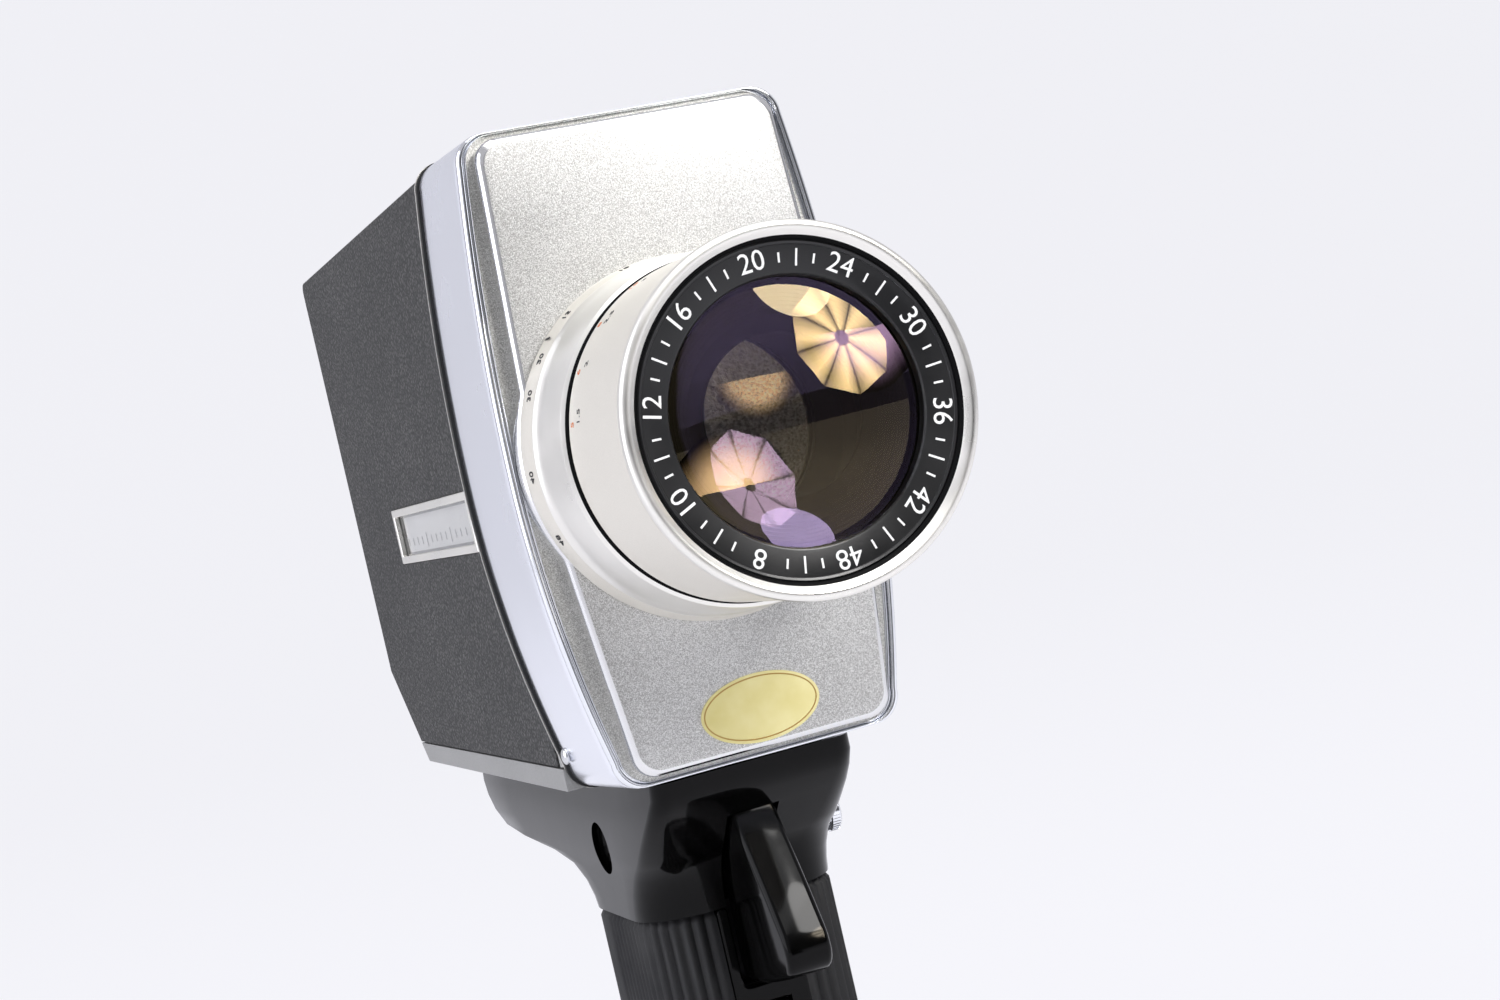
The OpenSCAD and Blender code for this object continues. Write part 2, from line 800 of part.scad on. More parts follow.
module takeup_spindle() {
    color("#d8d8d8") {
        rod_x(2, chamber_x - 6, chamber_x + 4, spindle_y, spindle_z);
        rod_x(4.5, chamber_x - 6, chamber_x - 0.4, spindle_y, spindle_z);
        for (a = [0:120:240])
            translate([0, spindle_y, spindle_z]) rotate([a, 0, 0])
                translate([chamber_x - 5.6, -0.6, 4]) cube([4.5, 1.2, 1.8]);
        translate([chamber_x + 2.4, spindle_y, spindle_z]) rotate([90, 0, 90]) gear(32, 2, 1.9);
    }
}

module circuit_board() {
    color("#6d5a2f") {
        block([in_x - 3.4, -14, lens_h - 44], [in_x - 1.8, 21, lens_h - 26]);
        for (i = [0:3])
            rod_x(2, in_x - 8, in_x - 3.3, -10 + 8 * i, lens_h - 33);
        // standoffs that carry the board on the side cover
        for (y = [-11, 18])
            rod_x(1.5, in_x - 1.9, in_x, y, lens_h - 41);
    }
}

module exposure_meter() {
    color("#46484a") {
        rod_y(7.5, -12, 4, -16.5, lens_h + 41);
        block([-19, -13.8, lens_h + 39], [-14, -11.9, lens_h + 43]);
        // bracket to the roof
        block([-19, -9, lens_h + 47], [-14, -3, body_top - wall]);
    }
}

// ---- controls ----

module zoom_rocker() {
    color("#1d1d1d") {
        across(-4.5, 4.5)
            polygon([[-6, body_top - 0.3], [-6, body_top + 2.4], [0, body_top + 1.8], [rocker_y, body_top + 1.4],
                [10, body_top + 1.8], [16, body_top + 2.4], [16, body_top - 0.3]]);
        rod_x(1.4, -4.5, 4.5, rocker_y, rocker_z);
        rod_x(1, -6.6, 6.6, rocker_y, rocker_z);
    }
}

module speed_dial() {
    color("#c4c5c6")
        difference() {
            union() {
                rod_x(2.5, in_x - 1, skin_x + 1, dial_y, dial_z);
                rod_x(dial_r, skin_x + 0.3, skin_x + 4, dial_y, dial_z);
            }
            for (i = [0:29])
                translate([0, dial_y, dial_z]) rotate([12 * i, 0, 0])
                    translate([skin_x, -0.45, dial_r - 0.5]) cube([5, 0.9, 2]);
        }
}

module counter_dial() {
    color("#e6e6e2") {
        rod_x(8.6, cover_x - 1.4, cover_x - 0.4, counter_y, counter_z);
        rod_x(1.5, in_x - 4, cover_x - 1.3, counter_y, counter_z);
    }
}

// ---- grip ----

// Side view of the glossy head: slanted front, long rear, curved into the grip
module head_profile() {
    polygon([[-head_front, head_top], [-head_front + 1, body_low - 4], [-head_front + 7, body_low - 10],
        [-head_front + 14, body_low - 17], [grip_front - 0.6, body_low - 22.5], [grip_front - 0.6, grip_h],
        [grip_back + 0.6, grip_h], [grip_back + 1.6, grip_h + 4], [grip_back + 5, head_low - 2],
        [grip_back + 12, head_low - 0.8], [head_rear - 11, head_low + 0.6], [head_rear - 4, head_low + 4],
        [head_rear, head_low + 12], [head_rear + 0.5, body_low], [body_front, body_low], [body_front, head_top]]);
}

module head_plan() {
    r = 8;
    polygon([for (c = [[1, 1, 0], [-1, 1, 90], [-1, -1, 180], [1, -1, 270]], i = [0:6])
        let(a = c[2] + 90 * i / 6, y = c[1] > 0 ? head_rear + 0.5 - r : -head_front + r)
            [c[0] * (head_w / 2 - r) + r * cos(a), y + r * sin(a)]]);
}

module grip_head() {
    color("#111112")
        difference() {
            intersection() {
                across(-head_w / 2, head_w / 2) head_profile();
                translate([0, 0, grip_h]) linear_extrude(body_low - grip_h) head_plan();
            }
            // slot that the trigger swings in
            block([-slot_x, -head_front - 1, grip_h - 1], [slot_x, grip_front + 6.5, body_low - 1.6]);
            rod_x(pin_r, -slot_x - 4, slot_x + 4, pivot_y, pivot_z);
            // wiring passage between grip and body
            block([-9, grip_front + 10, grip_h - 1], [9, grip_back - 8, body_low + 1]);
            socket_seat();
            rod_x(3 + run, head_w / 2 - 7, head_w / 2 + 1, button_y, button_z);
        }
}
module socket_seat() {
    rod_x(5, -head_w / 2 - 1, -head_w / 2 + 6, socket_y, socket_z);
}

module remote_socket() {
    color("#1a1a1a")
        difference() {
            rod_x(5, -head_w / 2 + 1.6, -head_w / 2 + 6, socket_y, socket_z);
            rod_x(1.8, -head_w / 2, -head_w / 2 + 5, socket_y, socket_z);
        }
}

module side_button() {
    color("#dfe1e4") {
        rod_x(3, head_w / 2 - 5, head_w / 2 + 1.9, button_y, button_z);
        rod_x(3.6, head_w / 2 + 1.8, head_w / 2 + 4.2, button_y, button_z);
    }
}

module grip_shell() {
    z0 = foot_t;
    color("#1c1c1d")
        difference() {
            union() {
                translate([0, 0, z0]) linear_extrude(grip_h - z0) grip_outline(0.7);
                ribs(z0);
            }
            translate([0, 0, z0 - 1]) linear_extrude(bay_top - z0 + 1) grip_outline(grip_wall);
            // wiring passage up to the head
            block([-9, grip_front + 10, bay_top - 1], [9, grip_back - 8, grip_h + 1]);
            // recess for the trigger's bezel, and the trigger's own slot
            block([-bezel_w, grip_front - 1, bezel_z0], [bezel_w, grip_front + 1.7, grip_h + 1]);
            block([-slot_x, grip_front - 1, bay_top + 1], [slot_x, grip_front + 6.5, grip_h + 1]);
            // opening for the battery door
            block([-door_w / 2 - panel_gap, grip_back - 5, bay_door_z0 - panel_gap],
                [door_w / 2 + panel_gap, grip_back + 1, bay_door_z1 + panel_gap]);
            rod_x(0.8 + run, -door_w / 2 - 1.8, door_w / 2 + 1.8, door_pin_y, door_pin_z);
        }
}

// Upright ribs round the front corners and along the sides
module ribs(z0) {
    for (s = [-1, 1], i = [0:6]) {
        y = grip_front + grip_r + 2 + 2.4 * i;
        block([s > 0 ? grip_w / 2 - 1.2 : -grip_w / 2, y, z0],
            [s > 0 ? grip_w / 2 : -grip_w / 2 + 1.2, y + 1.3, grip_h - 1.5]);
    }
    for (s = [-1, 1], a = [12:13:80])
        translate([s * (grip_w / 2 - grip_r), grip_front + grip_r, z0])
            rotate([0, 0, s > 0 ? -a : 180 + a])
                translate([grip_r - 1.6, -0.65, 0]) cube([1.6, 1.3, grip_h - 1.5 - z0]);
}

module trigger_bezel() {
    color("#0e0e0f")
        difference() {
            block([-bezel_w + 0.1, grip_front - 0.7, bezel_z0 + 0.1], [bezel_w - 0.1, grip_front + 1.7, grip_h]);
            block([-slot_x, grip_front - 2, bay_top + 1], [slot_x, grip_front + 2, grip_h + 1]);
            block([-lock_w / 2 - 0.25, grip_front - 2, lock_z0 - 5.5],
                [lock_w / 2 + 0.25, grip_front + 2, lock_z1 + 0.25]);
        }
}

module run_lock() {
    color("#121213") {
        block([-lock_w / 2, grip_front - 0.6, lock_z0], [lock_w / 2, grip_front + 1.4, lock_z1]);
        rod_x(2.2, -lock_w / 2, lock_w / 2, grip_front - 0.6, lock_z1 - 3.2);
    }
}

// Side view of the trigger lever: slanted face, lip at its foot
module trigger_profile() {
    y0 = pivot_y;
    z0 = pivot_z;
    polygon([[y0 - 2.6, z0 + 2.2], [y0 - 5, z0 - 3], [y0 - 9, z0 - 10], [y0 - 14.5, z0 - 19],
        [y0 - 18.6, z0 - 26.5],
        [y0 - 18.9, z0 - 30], [y0 - 17.6, z0 - 32.4], [y0 - 15.4, z0 - 33.4], [y0 - 4, z0 - 35.6],
        [y0 + 7.5, z0 - 36.6], [y0 + 8.2, z0 - 34], [y0 + 7.6, z0 - 20], [y0 + 6, z0 - 8], [y0 + 3.4, z0 + 1],
        [y0 + 1.6, z0 + 2.8], [y0 - 1.2, z0 + 3]]);
}
module trigger() {
    color("#0f0f10")
        difference() {
            across(-trigger_w / 2, trigger_w / 2) trigger_profile();
            rod_x(pin_r + run, -trigger_w, trigger_w, pivot_y, pivot_z);
        }
}

module trigger_pin() {
    color("#c8c8c8") rod_x(pin_r, -slot_x - 3.5, slot_x + 3.5, pivot_y, pivot_z);
}

module battery_cells() {
    p = cell_r + 0.2;
    color("#8a6a3a")
        for (sx = [-1, 1], sy = [-1, 1])
            translate([sx * p, sy * p, foot_t + tripod_depth - 3]) {
                cylinder(r = cell_r, h = cell_len - 1.4);
                cylinder(r = 2.5, h = cell_len);
            }
}

module battery_door() {
    color("#1a1a1b") {
        block([-door_w / 2, grip_back - 2.6, door_pin_z], [door_w / 2, grip_back - 0.7, bay_door_z1]);
        rod_x(1.4, -door_w / 2, door_w / 2, door_pin_y, door_pin_z);
        rod_x(0.8, -door_w / 2 - 1.4, door_w / 2 + 1.4, door_pin_y, door_pin_z);
    }
}

module grip_foot() {
    color("#3a3b3d")
        difference() {
            union() {
                linear_extrude(foot_t) grip_outline(0);
                cylinder(r = 7.2, h = tripod_depth + 1.5);
            }
            translate([0, 0, -1]) cylinder(r = 5, h = tripod_depth + 1);
            for (p = foot_screw_places())
                translate([p[0], p[1], -1]) cylinder(r = 1.6, h = 4);
        }
}
function foot_screw_places() = [[12, 0], [-12, 0]];

module tripod_bush() {
    color("#c9c9c9")
        difference() {
            cylinder(r = 5, h = tripod_depth);
            translate([0, 0, -1]) cylinder(r = tripod_r, h = tripod_depth + 2);
        }
}

module screws() {
    color("#d6d6d6") {
        for (p = foot_screw_places())
            translate([p[0], p[1], 0.6]) cylinder(r = 1.6, h = 2.4);
        for (p = cover_screw_places())
            rod_x(cover_screw_r, in_x - 4.5, cover_x + 0.2, p[0], p[1]);
    }
}

body_shell();
side_cover();
side_cover_skin();
film_door();
film_door_skin();
door_hinge_pin();
door_latch();
window_frame();
window_glass();
window_card();
front_band();
band_seal();
front_panel();
front_frame();
face_plate();
oval_label();
lens_tube();
zoom_ring();
zoom_lever();
focus_barrel();
front_cell();
front_ring();
front_glass();
variator_cell();
variator_glass();
compensator_cell();
compensator_glass();
iris_housing();
aperture_vane();
reflex_prism();
relay_lens_tube();
film_gate();
pulldown_claw();
shutter_disc();
drive_motor();
motor_pinion();
takeup_spindle();
circuit_board();
exposure_meter();
finder_column();
finder_tube();
eyepiece_glass();
dioptre_ring();
eyecup();
zoom_rocker();
speed_dial();
counter_dial();
grip_head();
grip_shell();
trigger_bezel();
trigger();
trigger_pin();
run_lock();
side_button();
remote_socket();
battery_cells();
battery_door();
grip_foot();
tripod_bush();
screws();
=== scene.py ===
"""Looks of a hand-held cine camera with a zoom lens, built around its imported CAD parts."""

import math

import bmesh
import bpy
from mathutils import Matrix, Vector


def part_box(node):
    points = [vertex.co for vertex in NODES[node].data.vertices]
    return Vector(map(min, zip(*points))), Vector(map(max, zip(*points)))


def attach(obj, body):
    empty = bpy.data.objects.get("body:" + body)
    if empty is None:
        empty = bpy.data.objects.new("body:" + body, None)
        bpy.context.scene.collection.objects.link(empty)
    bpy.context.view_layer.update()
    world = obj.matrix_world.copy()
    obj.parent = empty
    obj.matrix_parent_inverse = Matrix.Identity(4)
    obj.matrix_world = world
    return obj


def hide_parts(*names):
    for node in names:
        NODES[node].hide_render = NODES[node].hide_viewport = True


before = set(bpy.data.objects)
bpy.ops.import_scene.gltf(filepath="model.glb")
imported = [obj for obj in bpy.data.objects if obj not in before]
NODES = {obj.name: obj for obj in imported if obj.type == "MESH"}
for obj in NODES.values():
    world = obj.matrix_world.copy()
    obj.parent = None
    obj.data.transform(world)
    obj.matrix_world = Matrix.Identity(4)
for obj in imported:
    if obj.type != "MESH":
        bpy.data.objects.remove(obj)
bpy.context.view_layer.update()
MM = 0.001

# ---- places that come from the CAD parts ----

plate_lo, plate_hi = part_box("face_plate")
rim_lo, rim_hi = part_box("focus_barrel")
ring_lo, ring_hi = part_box("zoom_ring")
band_lo, band_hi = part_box("front_band")
grip_lo, grip_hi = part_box("grip_shell")
head_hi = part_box("grip_head")[1]
AXIS_Z = (rim_lo.z + rim_hi.z) / 2
RIM_R = rim_hi.x
FACE_Y = plate_lo.y


# ---- materials ----


def linear(code):
    """sRGB hex text to linear colour."""
    parts = [int(code[i:i + 2], 16) / 255 for i in (1, 3, 5)]
    return [p / 12.92 if p <= 0.04045 else ((p + 0.055) / 1.055) ** 2.4 for p in parts] + [1.0]


def add(tree, kind, settings=None, links=None):
    """Adds one shader node, with its settings and with the sockets that feed its inputs."""
    node = tree.nodes.new(kind)
    for name, value in (settings or {}).items():
        if isinstance(name, str) and hasattr(node, name) and name not in node.inputs:
            setattr(node, name, value)
        else:
            node.inputs[name].default_value = value
    for name, source in (links or {}).items():
        tree.links.new(source, node.inputs[name])
    return node


def calc(tree, operation, *values):
    """One arithmetic node: its values in order are numbers to set or sockets to link."""
    node = add(tree, "ShaderNodeMath", {"operation": operation})
    for value, socket in zip(values, node.inputs):
        if isinstance(value, bpy.types.NodeSocket):
            tree.links.new(value, socket)
        else:
            socket.default_value = value
    return node.outputs[0]


def finish_of(name, settings):
    """A new material with a Principled shader: returns it, its tree, the shader and the object's coordinates."""
    mat = bpy.data.materials.new(name)
    mat.use_nodes = True
    tree = mat.node_tree
    shader = tree.nodes["Principled BSDF"]
    for key, value in settings.items():
        shader.inputs[key].default_value = value
    where = add(tree, "ShaderNodeTexCoord").outputs["Object"]
    return mat, tree, shader, where


def ramp(tree, source, stops):
    node = add(tree, "ShaderNodeValToRGB", links={"Fac": source})
    band = node.color_ramp
    while len(band.elements) < len(stops):
        band.elements.new(0.5)
    for element, (place, colour) in zip(band.elements, stops):
        element.position = place
        element.color = linear(colour) if isinstance(colour, str) else [colour] * 3 + [1]
    return node.outputs["Color"]


def drive(tree, shader, socket, source, stops):
    """Drives one of a shader's sockets from a value through a ramp."""
    tree.links.new(ramp(tree, source, stops), shader.inputs[socket])


def noise(tree, where, per_metre, detail=2.0, roughness=0.5):
    return add(tree, "ShaderNodeTexNoise", {"Scale": per_metre, "Detail": detail, "Roughness": roughness},
               {"Vector": where}).outputs["Fac"]


def bump(tree, shader, height, depth, strength=1.0):
    node = add(tree, "ShaderNodeBump", {"Strength": strength, "Distance": depth}, {"Height": height})
    tree.links.new(node.outputs["Normal"], shader.inputs["Normal"])


def satin_metal(name, colour, dark, rough, grit, depth, metal=1.0):
    """Blasted and anodised or lacquered metal: fine even sparkle from small pits, and slow cloudy tone."""
    mat, tree, shader, where = finish_of(name, {"Metallic": metal, "Roughness": rough})
    pits = noise(tree, where, 1 / grit, 3, 0.65)
    cloud = noise(tree, where, 22, 3)
    tone = calc(tree, "ADD", pits, -0.15)
    tone = calc(tree, "MULTIPLY_ADD", cloud, 0.3, tone)
    drive(tree, shader, "Base Color", tone, [(0.36, dark), (0.62, colour)])
    drive(tree, shader, "Roughness", pits, [(0.25, rough * 0.8), (0.75, min(1, rough * 1.3))])
    bump(tree, shader, pits, depth)
    return mat


def smooth_metal(name, colour, rough, scuff=0.25):
    """Polished or plated metal: clear reflections, broken by faint cloudy smears and hairline wear."""
    mat, tree, shader, where = finish_of(name, {"Metallic": 1.0, "Base Color": linear(colour)})
    smear = noise(tree, where, 45, 4, 0.6)
    drive(tree, shader, "Roughness", smear, [(0.3, rough * (1 - scuff)), (0.75, rough * (1 + 2 * scuff))])
    hair = add(tree, "ShaderNodeMapping", {"Scale": (900, 900, 60)}, {"Vector": where}).outputs["Vector"]
    bump(tree, shader, noise(tree, hair, 1.0, 2), 0.0008 * MM)
    return mat


def moulded_plastic(name, colour, lit, rough, coat=0.0, grain=0.35 * MM, depth=0.012 * MM, specular=0.5):
    """Moulded plastic: one deep colour, a slight orange-peel swell, and dust or handling that dulls it in places."""
    mat, tree, shader, where = finish_of(name, {"IOR": 1.5, "Coat Weight": coat, "Coat Roughness": 0.06,
                                                "Specular IOR Level": specular})
    handled = noise(tree, where, 60, 4, 0.6)
    drive(tree, shader, "Base Color", handled, [(0.35, colour), (0.8, lit)])
    drive(tree, shader, "Roughness", handled, [(0.35, rough), (0.8, min(1, rough * 1.7 + 0.02))])
    bump(tree, shader, noise(tree, where, 1 / grain, 2), depth)
    return mat


# anodised aluminium, fine-blasted: the lens barrel's warm white satin
BARREL_SATIN = satin_metal("anodised_barrel_satin", "#e8e4da", "#dedacf", 0.42, 0.16 * MM, 0.004 * MM, 0.6)
# the same aluminium, turned: a brighter rim and bevel
TURNED_BRIGHT = smooth_metal("turned_bright_aluminium", "#f0eee8", 0.33)
# die-cast face plate, coarse-blasted and lacquered silver: a visible sparkle at about a third of a millimetre
PLATE_BLAST = satin_metal("blasted_silver_plate", "#f2f2f0", "#a9a8a5", 0.40, 0.18 * MM, 0.05 * MM)
# the same blast in the channel round the plate
CHANNEL_BLAST = satin_metal("blasted_channel", "#eeeeea", "#a3a29d", 0.34, 0.17 * MM, 0.045 * MM)
# polished and plated zinc edge of the plate
EDGE_POLISH = smooth_metal("polished_plate_edge", "#e6e6e6", 0.16)
# satin chromed band: soft wide reflections with a cool tone
BAND_CHROME = smooth_metal("satin_chrome_band", "#f6f8ff", 0.24, 0.12)
BEAD_CHROME = smooth_metal("bright_chrome_bead", "#eef0f4", 0.09)
# painted casting of the body, satin grey
CASTING = satin_metal("satin_painted_casting", "#a9a9a7", "#8f8f8d", 0.45, 0.2 * MM, 0.01 * MM, 0.6)
SCREW_STEEL = smooth_metal("plated_steel_screw", "#d9dadc", 0.18)
BRASS = smooth_metal("machined_brass", "#c9a561", 0.3)
INNER_METAL = satin_metal("pressed_inner_steel", "#9b9d9f", "#77797c", 0.4, 0.4 * MM, 0.01 * MM)
# black anodised lens parts: nearly black, with a dull sheen
LENS_BLACK = moulded_plastic("black_anodised_cell", "#030304", "#070708", 0.5, depth=0.001 * MM, specular=0.12)
BAFFLE_BLACK = moulded_plastic("matte_black_baffle", "#010101", "#020203", 0.9, depth=0.0, specular=0.0)
RING_BLACK = moulded_plastic("black_enamel_ring", "#08080a", "#0e0e10", 0.3, 0.2)
# glossy phenolic-black plastic of the head and trigger: sharp highlights
GLOSS_BLACK = moulded_plastic("gloss_black_plastic", "#020202", "#040404", 0.07, 0.0, 9 * MM, 0.02 * MM, 0.15)
# textured black plastic of the grip: dull, greyed by dust
GRIP_BLACK = moulded_plastic("matte_black_grip", "#161617", "#232325", 0.55, grain=0.3 * MM, depth=0.04 * MM,
                             specular=0.4)
RUBBER = moulded_plastic("black_rubber_cup", "#131313", "#1d1d1d", 0.7, specular=0.3)
SEAL_BLACK = moulded_plastic("black_seal", "#0a0a0b", "#101011", 0.5)
# engraving filled with white and with orange paint
FILL_WHITE = moulded_plastic("white_paint_fill", "#e8e8e6", "#f4f4f2", 0.6)
FILL_ORANGE = moulded_plastic("orange_paint_fill", "#cc6a2c", "#d98044", 0.6)
FILL_BLACK = moulded_plastic("black_paint_fill", "#202022", "#2b2b2c", 0.6)
CARD_WHITE = moulded_plastic("white_printed_card", "#dfdfdc", "#efefec", 0.7)
BOARD_BROWN = moulded_plastic("phenolic_board", "#6a5527", "#7d6834", 0.5)
CELL_JACKET = moulded_plastic("printed_cell_jacket", "#8a6a30", "#a07e3c", 0.35)


def leatherette():
    """Embossed vinyl covering: pebbles about 1 mm wide with creases between, dull black; painted shade darkens the
    colour in the creases, and random wear greys the raised pebbles.
    """
    mat, tree, shader, where = finish_of("embossed_black_leatherette", {"IOR": 1.5, "Specular IOR Level": 0.45})
    warp = add(tree, "ShaderNodeTexNoise", {"Scale": 500.0, "Detail": 2.0}, {"Vector": where}).outputs["Color"]
    bent = add(tree, "ShaderNodeMix", {"data_type": "VECTOR", "Factor": 0.0016}, {4: where, 5: warp}).outputs[1]
    cells = add(tree, "ShaderNodeTexVoronoi", {"feature": "DISTANCE_TO_EDGE", "Scale": 1050.0},
                {"Vector": bent}).outputs["Distance"]
    crease = ramp(tree, cells, [(0.02, 0.0), (0.30, 1.0)])
    fine = noise(tree, where, 3800, 3, 0.6)
    height = calc(tree, "MULTIPLY_ADD", fine, 0.4, crease)
    bump(tree, shader, height, 0.12 * MM, 0.8)
    worn = noise(tree, where, 30, 4, 0.6)
    # painted shade in the creases, mixed with random wear: the crease mask times the wear noise sets the colour
    crease_shade_and_wear = calc(tree, "MULTIPLY", crease, worn)
    drive(tree, shader, "Base Color", crease_shade_and_wear, [(0.0, "#232323"), (0.3, "#383837"), (0.75, "#4c4b4a")])
    drive(tree, shader, "Roughness", crease, [(0.0, 0.75), (1.0, 0.5)])
    return mat


LEATHERETTE = leatherette()


def gold_foil():
    """Pale gold printed foil: a soft sheen with slight crinkles."""
    mat, tree, shader, where = finish_of("pale_gold_foil", {"Metallic": 0.25})
    age = noise(tree, where, 160, 3)
    drive(tree, shader, "Base Color", age, [(0.3, "#e3d78e"), (0.75, "#efe6ac")])
    drive(tree, shader, "Roughness", age, [(0.3, 0.4), (0.75, 0.55)])
    bump(tree, shader, noise(tree, where, 700, 2), 0.012 * MM)
    return mat


GOLD_FOIL = gold_foil()


def coated(name, tint, level):
    """Coated optical glass: clear, with a coloured mirror-like sheen on its surface."""
    return finish_of(name, {"IOR": 1.52, "Transmission Weight": 1.0, "Roughness": 0.0, "Base Color": linear("#ffffff"),
                            "Specular Tint": linear(tint), "Specular IOR Level": level})[0]


AMBER_COAT = coated("amber_coated_glass", "#ffe8b4", 0.4)
VIOLET_COAT = coated("violet_coated_glass", "#dcc4ff", 0.22)
BLUE_COAT = coated("blue_coated_glass", "#b4cdf2", 0.25)
CLEAR_GLASS = coated("clear_window_glass", "#ffffff", 0.5)
PRISM_GLASS = coated("clear_prism_glass", "#ffffff", 0.5)


# ---- mesh helpers ----


def placed(name, data):
    """A new object in the scene."""
    made = bpy.data.objects.new(name, data)
    bpy.context.scene.collection.objects.link(made)
    return made


def ring_of(bm, corners):
    """A closed ring of edges through the corners."""
    verts = [bm.verts.new(c) for c in corners]
    return verts, [bm.edges.new((verts[i], verts[(i + 1) % len(verts)])) for i in range(len(verts))]


def turned(corners, centre, axis, steps):
    """A bmesh of a closed ring turned once about an axis."""
    bm = bmesh.new()
    verts, edges = ring_of(bm, corners)
    bmesh.ops.spin(bm, geom=verts + edges, cent=centre, axis=axis, angle=math.tau, steps=steps, use_merge=True)
    return bm


def mesh_of(bm, name):
    mesh = bpy.data.meshes.new(name)
    bm.to_mesh(mesh)
    bm.free()
    return mesh


def object_of(bm, name, material, body, replaces=(), smooth=30):
    """Makes a bmesh an object at the origin that rides on a body: faces outward, smooth up to an angle."""
    bmesh.ops.remove_doubles(bm, verts=bm.verts, dist=1e-7)
    bmesh.ops.recalc_face_normals(bm, faces=bm.faces)
    mesh = mesh_of(bm, name)
    piece = placed(name, mesh)
    for m in material if isinstance(material, list) else [material]:
        mesh.materials.append(m)
    shade(piece, smooth)
    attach(piece, body)
    if replaces:
        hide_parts(*replaces)
    return piece


def shade(piece, angle):
    for p in piece.data.polygons:
        p.use_smooth = True
    piece.data.set_sharp_from_angle(angle=math.radians(angle))


def spun(name, profile, material, body, steps=160, replaces=(), smooth=30, z=AXIS_Z, bands=None):
    """A turned part about the lens axis. The profile is a closed loop of (radius, place along Y) in metres.
    bands gives a material index for a range of the profile's edges."""
    bm = turned([(r, y, z) for r, y in profile], (0, 0, z), (0, 1, 0), steps)
    if bands:
        # the band of a face is the index of the profile edge nearest its middle
        mids = [(((profile[i][0] + profile[(i + 1) % len(profile)][0]) / 2),
                 ((profile[i][1] + profile[(i + 1) % len(profile)][1]) / 2)) for i in range(len(profile))]
        for f in bm.faces:
            c = f.calc_center_median()
            r = math.hypot(c.x, c.z - z)
            near = min(range(len(mids)), key=lambda i: (mids[i][0] - r) ** 2 + (mids[i][1] - c.y) ** 2)
            for first, last, index in bands:
                if first <= near <= last:
                    f.material_index = index
    return object_of(bm, name, material, body, replaces, smooth)


def rounded(points, radius, steps=4):
    """Rounds the corners of a closed loop of 2-D points."""
    out = []
    n = len(points)
    for i in range(n):
        p, q, s = Vector(points[i - 1]), Vector(points[i]), Vector(points[(i + 1) % n])
        a, b = p - q, s - q
        d = min(radius, a.length * 0.45, b.length * 0.45)
        u, v = q + a.normalized() * d, q + b.normalized() * d
        for k in range(steps + 1):
            t = k / steps
            out.append(tuple((1 - t) ** 2 * u + 2 * t * (1 - t) * q + t * t * v))
    return out


def prism(points, axis, low, high):
    """A bmesh of a flat loop extruded along an axis. The loop's two numbers are the other two axes in order."""
    bm = bmesh.new()
    order = {"x": lambda p, h: (h, p[0], p[1]), "y": lambda p, h: (p[0], h, p[1]), "z": lambda p, h: (p[0], p[1], h)}
    verts = [bm.verts.new(order[axis](p, low)) for p in points]
    face = bm.faces.new(verts)
    moved = bmesh.ops.extrude_face_region(bm, geom=[face])
    shift = {"x": (high - low, 0, 0), "y": (0, high - low, 0), "z": (0, 0, high - low)}[axis]
    bmesh.ops.translate(bm, vec=shift, verts=[v for v in moved["geom"] if isinstance(v, bmesh.types.BMVert)])
    return bm


def face_w(z, top, mid, low, z_top, z_low, power):
    if z > 0:
        return mid + (top - mid) * (z / z_top) ** power
    return mid + (low - mid) * (z / z_low) ** power


def face_outline(top, mid, low, z_top, z_low, power, corner, steps=40, turns=10):
    """The barrel-shaped outline shared by the plate and the band, as a closed loop of (x, z) about the lens axis."""
    z0, z1 = z_low + corner, z_top - corner
    x0, x1 = (face_w(z, top, mid, low, z_top, z_low, power) for z in (z0, z1))
    half = [(x0 - corner + corner * math.cos(a), z0 + corner * math.sin(a))
            for a in (math.radians(-90 + 90 * i / turns) for i in range(turns))]
    half += [(face_w(z, top, mid, low, z_top, z_low, power), z)
             for z in (z0 + (z1 - z0) * i / steps for i in range(steps + 1))]
    half += [(x1 - corner + corner * math.cos(a), z1 + corner * math.sin(a))
             for a in (math.radians(90 * i / turns) for i in range(1, turns + 1))]
    full = half + [(-x, z) for x, z in reversed(half)]
    return [(x * MM, z * MM + AXIS_Z) for x, z in full]


def band_outline(d):
    return face_outline(28.5 + d, 32.4 + d * 1.15, 25.1 + d, 56.9 + d * 0.2, -55.1 - d * 0.5, 2, 5)


def loft(loops, closed=False):
    """Bridges a row of equal loops of 3-D points, and caps the ends unless the row closes on itself."""
    bm = bmesh.new()
    rings = [ring_of(bm, loop)[1] for loop in loops]
    for a, b in zip(rings, rings[1:] + rings[:1] if closed else rings[1:]):
        bmesh.ops.bridge_loops(bm, edges=a + b)
    if not closed:
        for ring in (rings[0], rings[-1]):
            bmesh.ops.contextual_create(bm, geom=ring)
    return bm


def rounded_edges(piece, width, segments=3):
    """A bevel on every sharp edge, as a modifier."""
    bevel = piece.modifiers.new("rounded_edges", "BEVEL")
    bevel.width, bevel.segments, bevel.limit_method = width, segments, "ANGLE"
    bevel.angle_limit, bevel.use_clamp_overlap, bevel.harden_normals = math.radians(40), True, True


def bevel_across(bm, width, segments):
    """Rounds every edge that lies square to X."""
    edges = [e for e in bm.edges if abs(e.verts[0].co.x - e.verts[1].co.x) < 1e-6]
    bmesh.ops.bevel(bm, geom=edges, offset=width, affect="EDGES", segments=segments, profile=0.5, material=-1,
                    clamp_overlap=True)


